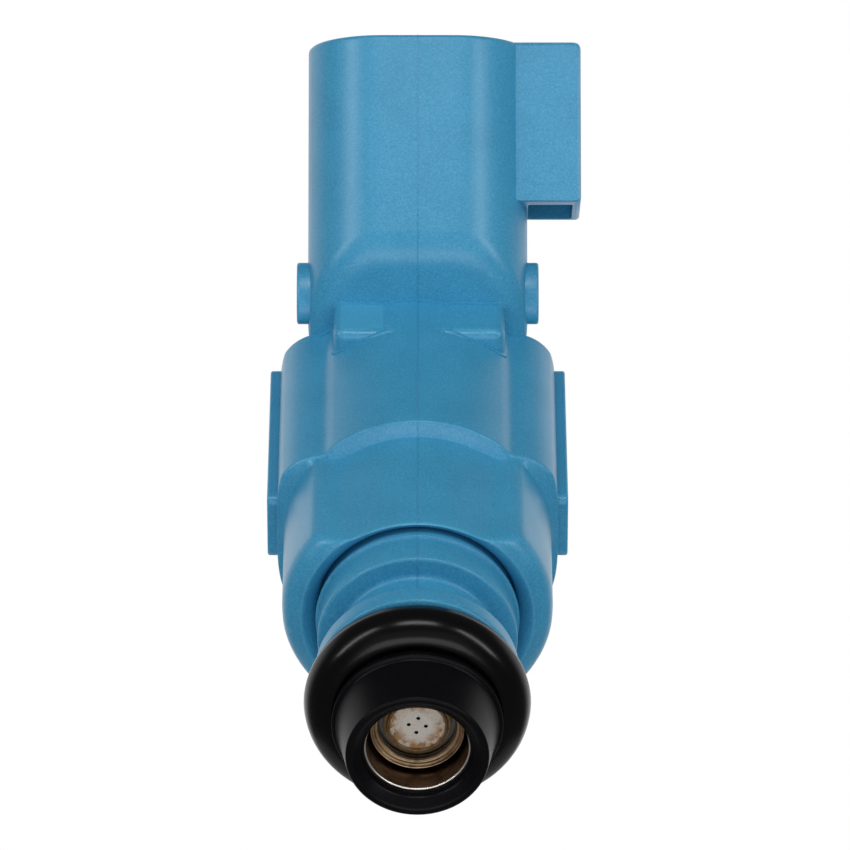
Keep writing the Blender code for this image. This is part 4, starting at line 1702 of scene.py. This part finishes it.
@dataclass
class Solenoid:
    """Bobbin, winding, iron can, washer and the two terminals."""

    bore: float = 3.865 * MM
    bobbin_wall: float = 0.45 * MM
    bobbin_flange: float = 0.8 * MM
    winding_bore: float = 4.565 * MM
    wire: float = 0.3 * MM
    can_bore: float = 5.915 * MM
    can_end: float = 1.2 * MM
    slot_half_width: float = 3.7 * MM
    slot_floor: float = 4.14 * MM

    def build(self) -> None:
        """Makes every piece of the magnet."""
        self.bobbin()
        self.winding()
        self.can()
        self.washer()
        for side in ("left", "right"):
            self.terminal(side)

    def bobbin(self) -> None:
        """The plastic reel."""
        front, back = ends("coil_bobbin")
        wall, edge, outer = self.bore + self.bobbin_wall, 0.1 * MM, reach("coil_bobbin")
        corners = [
            (front, self.bore, edge),
            (front, outer, edge),
            (front + self.bobbin_flange, outer, edge),
            (front + self.bobbin_flange, wall, edge),
            (back - self.bobbin_flange, wall, edge),
            (back - self.bobbin_flange, outer, edge),
            (back, outer, edge),
            (back, self.bore, edge),
        ]
        outline = rounded(corners, 3)
        show("winding_reel", turned(outline), BOBBIN_PLASTIC, "coil_bobbin")

    def winding(self) -> None:
        """The wire's outer layer, one scallop for each turn."""
        front, back = ends("coil_winding")
        outer = reach("coil_winding")
        turns = round((back - front) / self.wire)
        pitch = (back - front) / turns
        steps = 6
        outline = [(back, self.winding_bore), (front, self.winding_bore)]
        for n in range(turns * steps + 1):
            hump = abs(math.sin(math.pi * n / steps))
            outline.append((front + pitch * n / steps, outer - pitch / 2 * (1 - hump)))
        show("copper_winding", turned(outline, 96), COPPER, "coil_winding", crease=80.0)

    def can(self) -> None:
        """The iron can."""
        front, back = ends("solenoid_housing")
        outer = reach("solenoid_housing")
        corners = [
            (front, self.bore, 0.1 * MM),
            (front, outer, 0.5 * MM),
            (back, outer, 0.1 * MM),
            (back, self.can_bore, 0.1 * MM),
            (front + self.can_end, self.can_bore, 0.2 * MM),
            (front + self.can_end, self.bore, 0.1 * MM),
        ]
        outline = rounded(corners, 4)
        show("iron_can", turned(outline), DARK_STEEL, "solenoid_housing")

    def washer(self) -> None:
        """The washer behind the coil, slotted for the terminals."""
        front, back = ends("flux_washer")
        outer = (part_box("flux_washer")[1].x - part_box("flux_washer")[0].x) / 2
        solid = turned(tube(front, back, self.bore, outer, 0.1 * MM))
        low = (-self.slot_half_width, front - MM, self.slot_floor)
        high = (self.slot_half_width, back + MM, 2 * outer)
        solid = combined(solid, box(low, high), Cut.REMOVE)
        show("slotted_washer", solid, DARK_STEEL, "flux_washer")

    def terminal(self, side: str) -> None:
        """A tinned blade: its plain solid's mesh, merged, with softened edges."""
        node = f"terminal_{side}"
        bm = bmesh.new()
        bm.from_mesh(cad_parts[node].data)
        bmesh.ops.remove_doubles(bm, verts=bm.verts, dist=0.5e-6)
        bmesh.ops.dissolve_limit(bm, angle_limit=math.radians(1), verts=bm.verts, edges=bm.edges)
        bevelled(bm, 0.07 * MM, sharp(50.0), 3)
        show(f"plug_blade_{side}", bm, TINNED, node)


# === studio ===================================================================================


@dataclass(frozen=True)
class Softbox:
    """One soft light: where it hangs, how large it is and how bright."""

    name: str
    place: tuple[float, float, float]
    width: float
    height: float
    watts: float


@dataclass
class Studio:
    """The floor, the lights and the camera."""

    floor_drop: float = 0.15
    floor_radius: float = 0.14
    distance: float = 0.5
    elevation: float = math.radians(33.1)
    lift: float = 21.1 * MM
    shift: float = 0.49 * MM
    lens: float = 333.5
    dim: float = 0.14
    bright: float = 1.0
    boxes: tuple[Softbox, ...] = (
        Softbox("top", (0.0, -0.145, 0.53), 0.3, 0.12, 0.85),
        Softbox("left", (-0.43, -0.16, 0.31), 0.07, 0.4, 0.8),
        Softbox("right", (0.41, -0.22, 0.3), 0.07, 0.4, 0.8),
        Softbox("front", (0.0, -0.95, 0.35), 1.3, 0.8, 1.0),
        Softbox("bore", (0.0, -0.75, 0.0), 0.6, 0.3, 1.3),
    )

    def build(self) -> None:
        """Sets up the whole studio."""
        self.floor()
        self.air()
        for softbox in self.boxes:
            self.light(softbox)
        self.camera()

    def floor(self) -> None:
        """A round pale table top under the injector."""
        bm = bmesh.new()
        place = Matrix.Translation((0, 0, cad_box[0].z - self.floor_drop))
        bmesh.ops.create_circle(
            bm, cap_ends=True, segments=96, radius=self.floor_radius, matrix=place
        )
        mesh = bpy.data.meshes.new("floor")
        bm.to_mesh(mesh)
        bm.free()
        graph = Graph(bpy.data.materials.new("pale_floor"))
        color = graph.mix(graph.noise(0.02) * 0.3, (0.93, 0.93, 0.93), (0.86, 0.86, 0.86))
        mesh.materials.append(graph.done(Base_Color=color, Roughness=0.9))
        floor = bpy.data.objects.new("floor", mesh)
        bpy.context.scene.collection.objects.link(floor)

    def air(self) -> None:
        """A white sweep behind and below the injector, and a dim room in front of it."""
        graph = Graph(bpy.data.worlds.new("studio_air"), "Background")
        _, y, z = graph.split(graph.place())
        sweep = y.step(0.1, 0.6) * (1 - z.step(-0.1, 0.35))
        light = sweep * (self.bright - self.dim) + self.dim
        seen = graph.node("ShaderNodeLightPath", out="Is Camera Ray")
        strength = light + seen * (1 - light)
        bpy.context.scene.world = graph.done(Color=(1.0, 1.0, 1.0), Strength=strength)
        bpy.context.scene.view_settings.view_transform = "Standard"

    def light(self, softbox: Softbox) -> None:
        """Hangs one softbox, turned to the injector."""
        lamp = bpy.data.lights.new(softbox.name, "AREA")
        lamp.shape = "RECTANGLE"
        lamp.size, lamp.size_y = softbox.width, softbox.height
        lamp.energy = softbox.watts
        holder = bpy.data.objects.new(softbox.name, lamp)
        low, high = cad_box
        aim = (low + high) / 2 - Vector(softbox.place)
        holder.location = softbox.place
        holder.rotation_euler = aim.to_track_quat("-Z", "Y").to_euler()
        bpy.context.scene.collection.objects.link(holder)

    def camera(self) -> None:
        """Looks down the injector from ahead of the nozzle."""
        look = Vector((0, math.cos(self.elevation), -math.sin(self.elevation)))
        up = Vector((0, math.sin(self.elevation), math.cos(self.elevation)))
        tip = Vector((0, cad_box[0].y, 0))
        lens = bpy.data.cameras.new("camera")
        lens.lens = self.lens
        lens.sensor_width = 36.0
        lens.clip_start = 0.01
        eye = bpy.data.objects.new("camera", lens)
        eye.location = tip - look * self.distance + up * self.lift + Vector((self.shift, 0, 0))
        eye.rotation_euler = (QUARTER - self.elevation, 0, 0)
        bpy.context.scene.collection.objects.link(eye)
        bpy.context.scene.camera = eye


def build_all(parts: Iterable[object]) -> None:
    """Builds each sub-assembly in turn."""
    for part in parts:
        part.build()
        log.info("built %s", type(part).__name__)


def main() -> None:
    """Makes the injector and its studio."""
    valve = [NozzleEnd(), Seals(), Needle(), ReturnSpring()]
    build_all([Studio(), Overmould(), *valve, InletEnd(), Solenoid()])


if __name__ == "__main__":
    main()
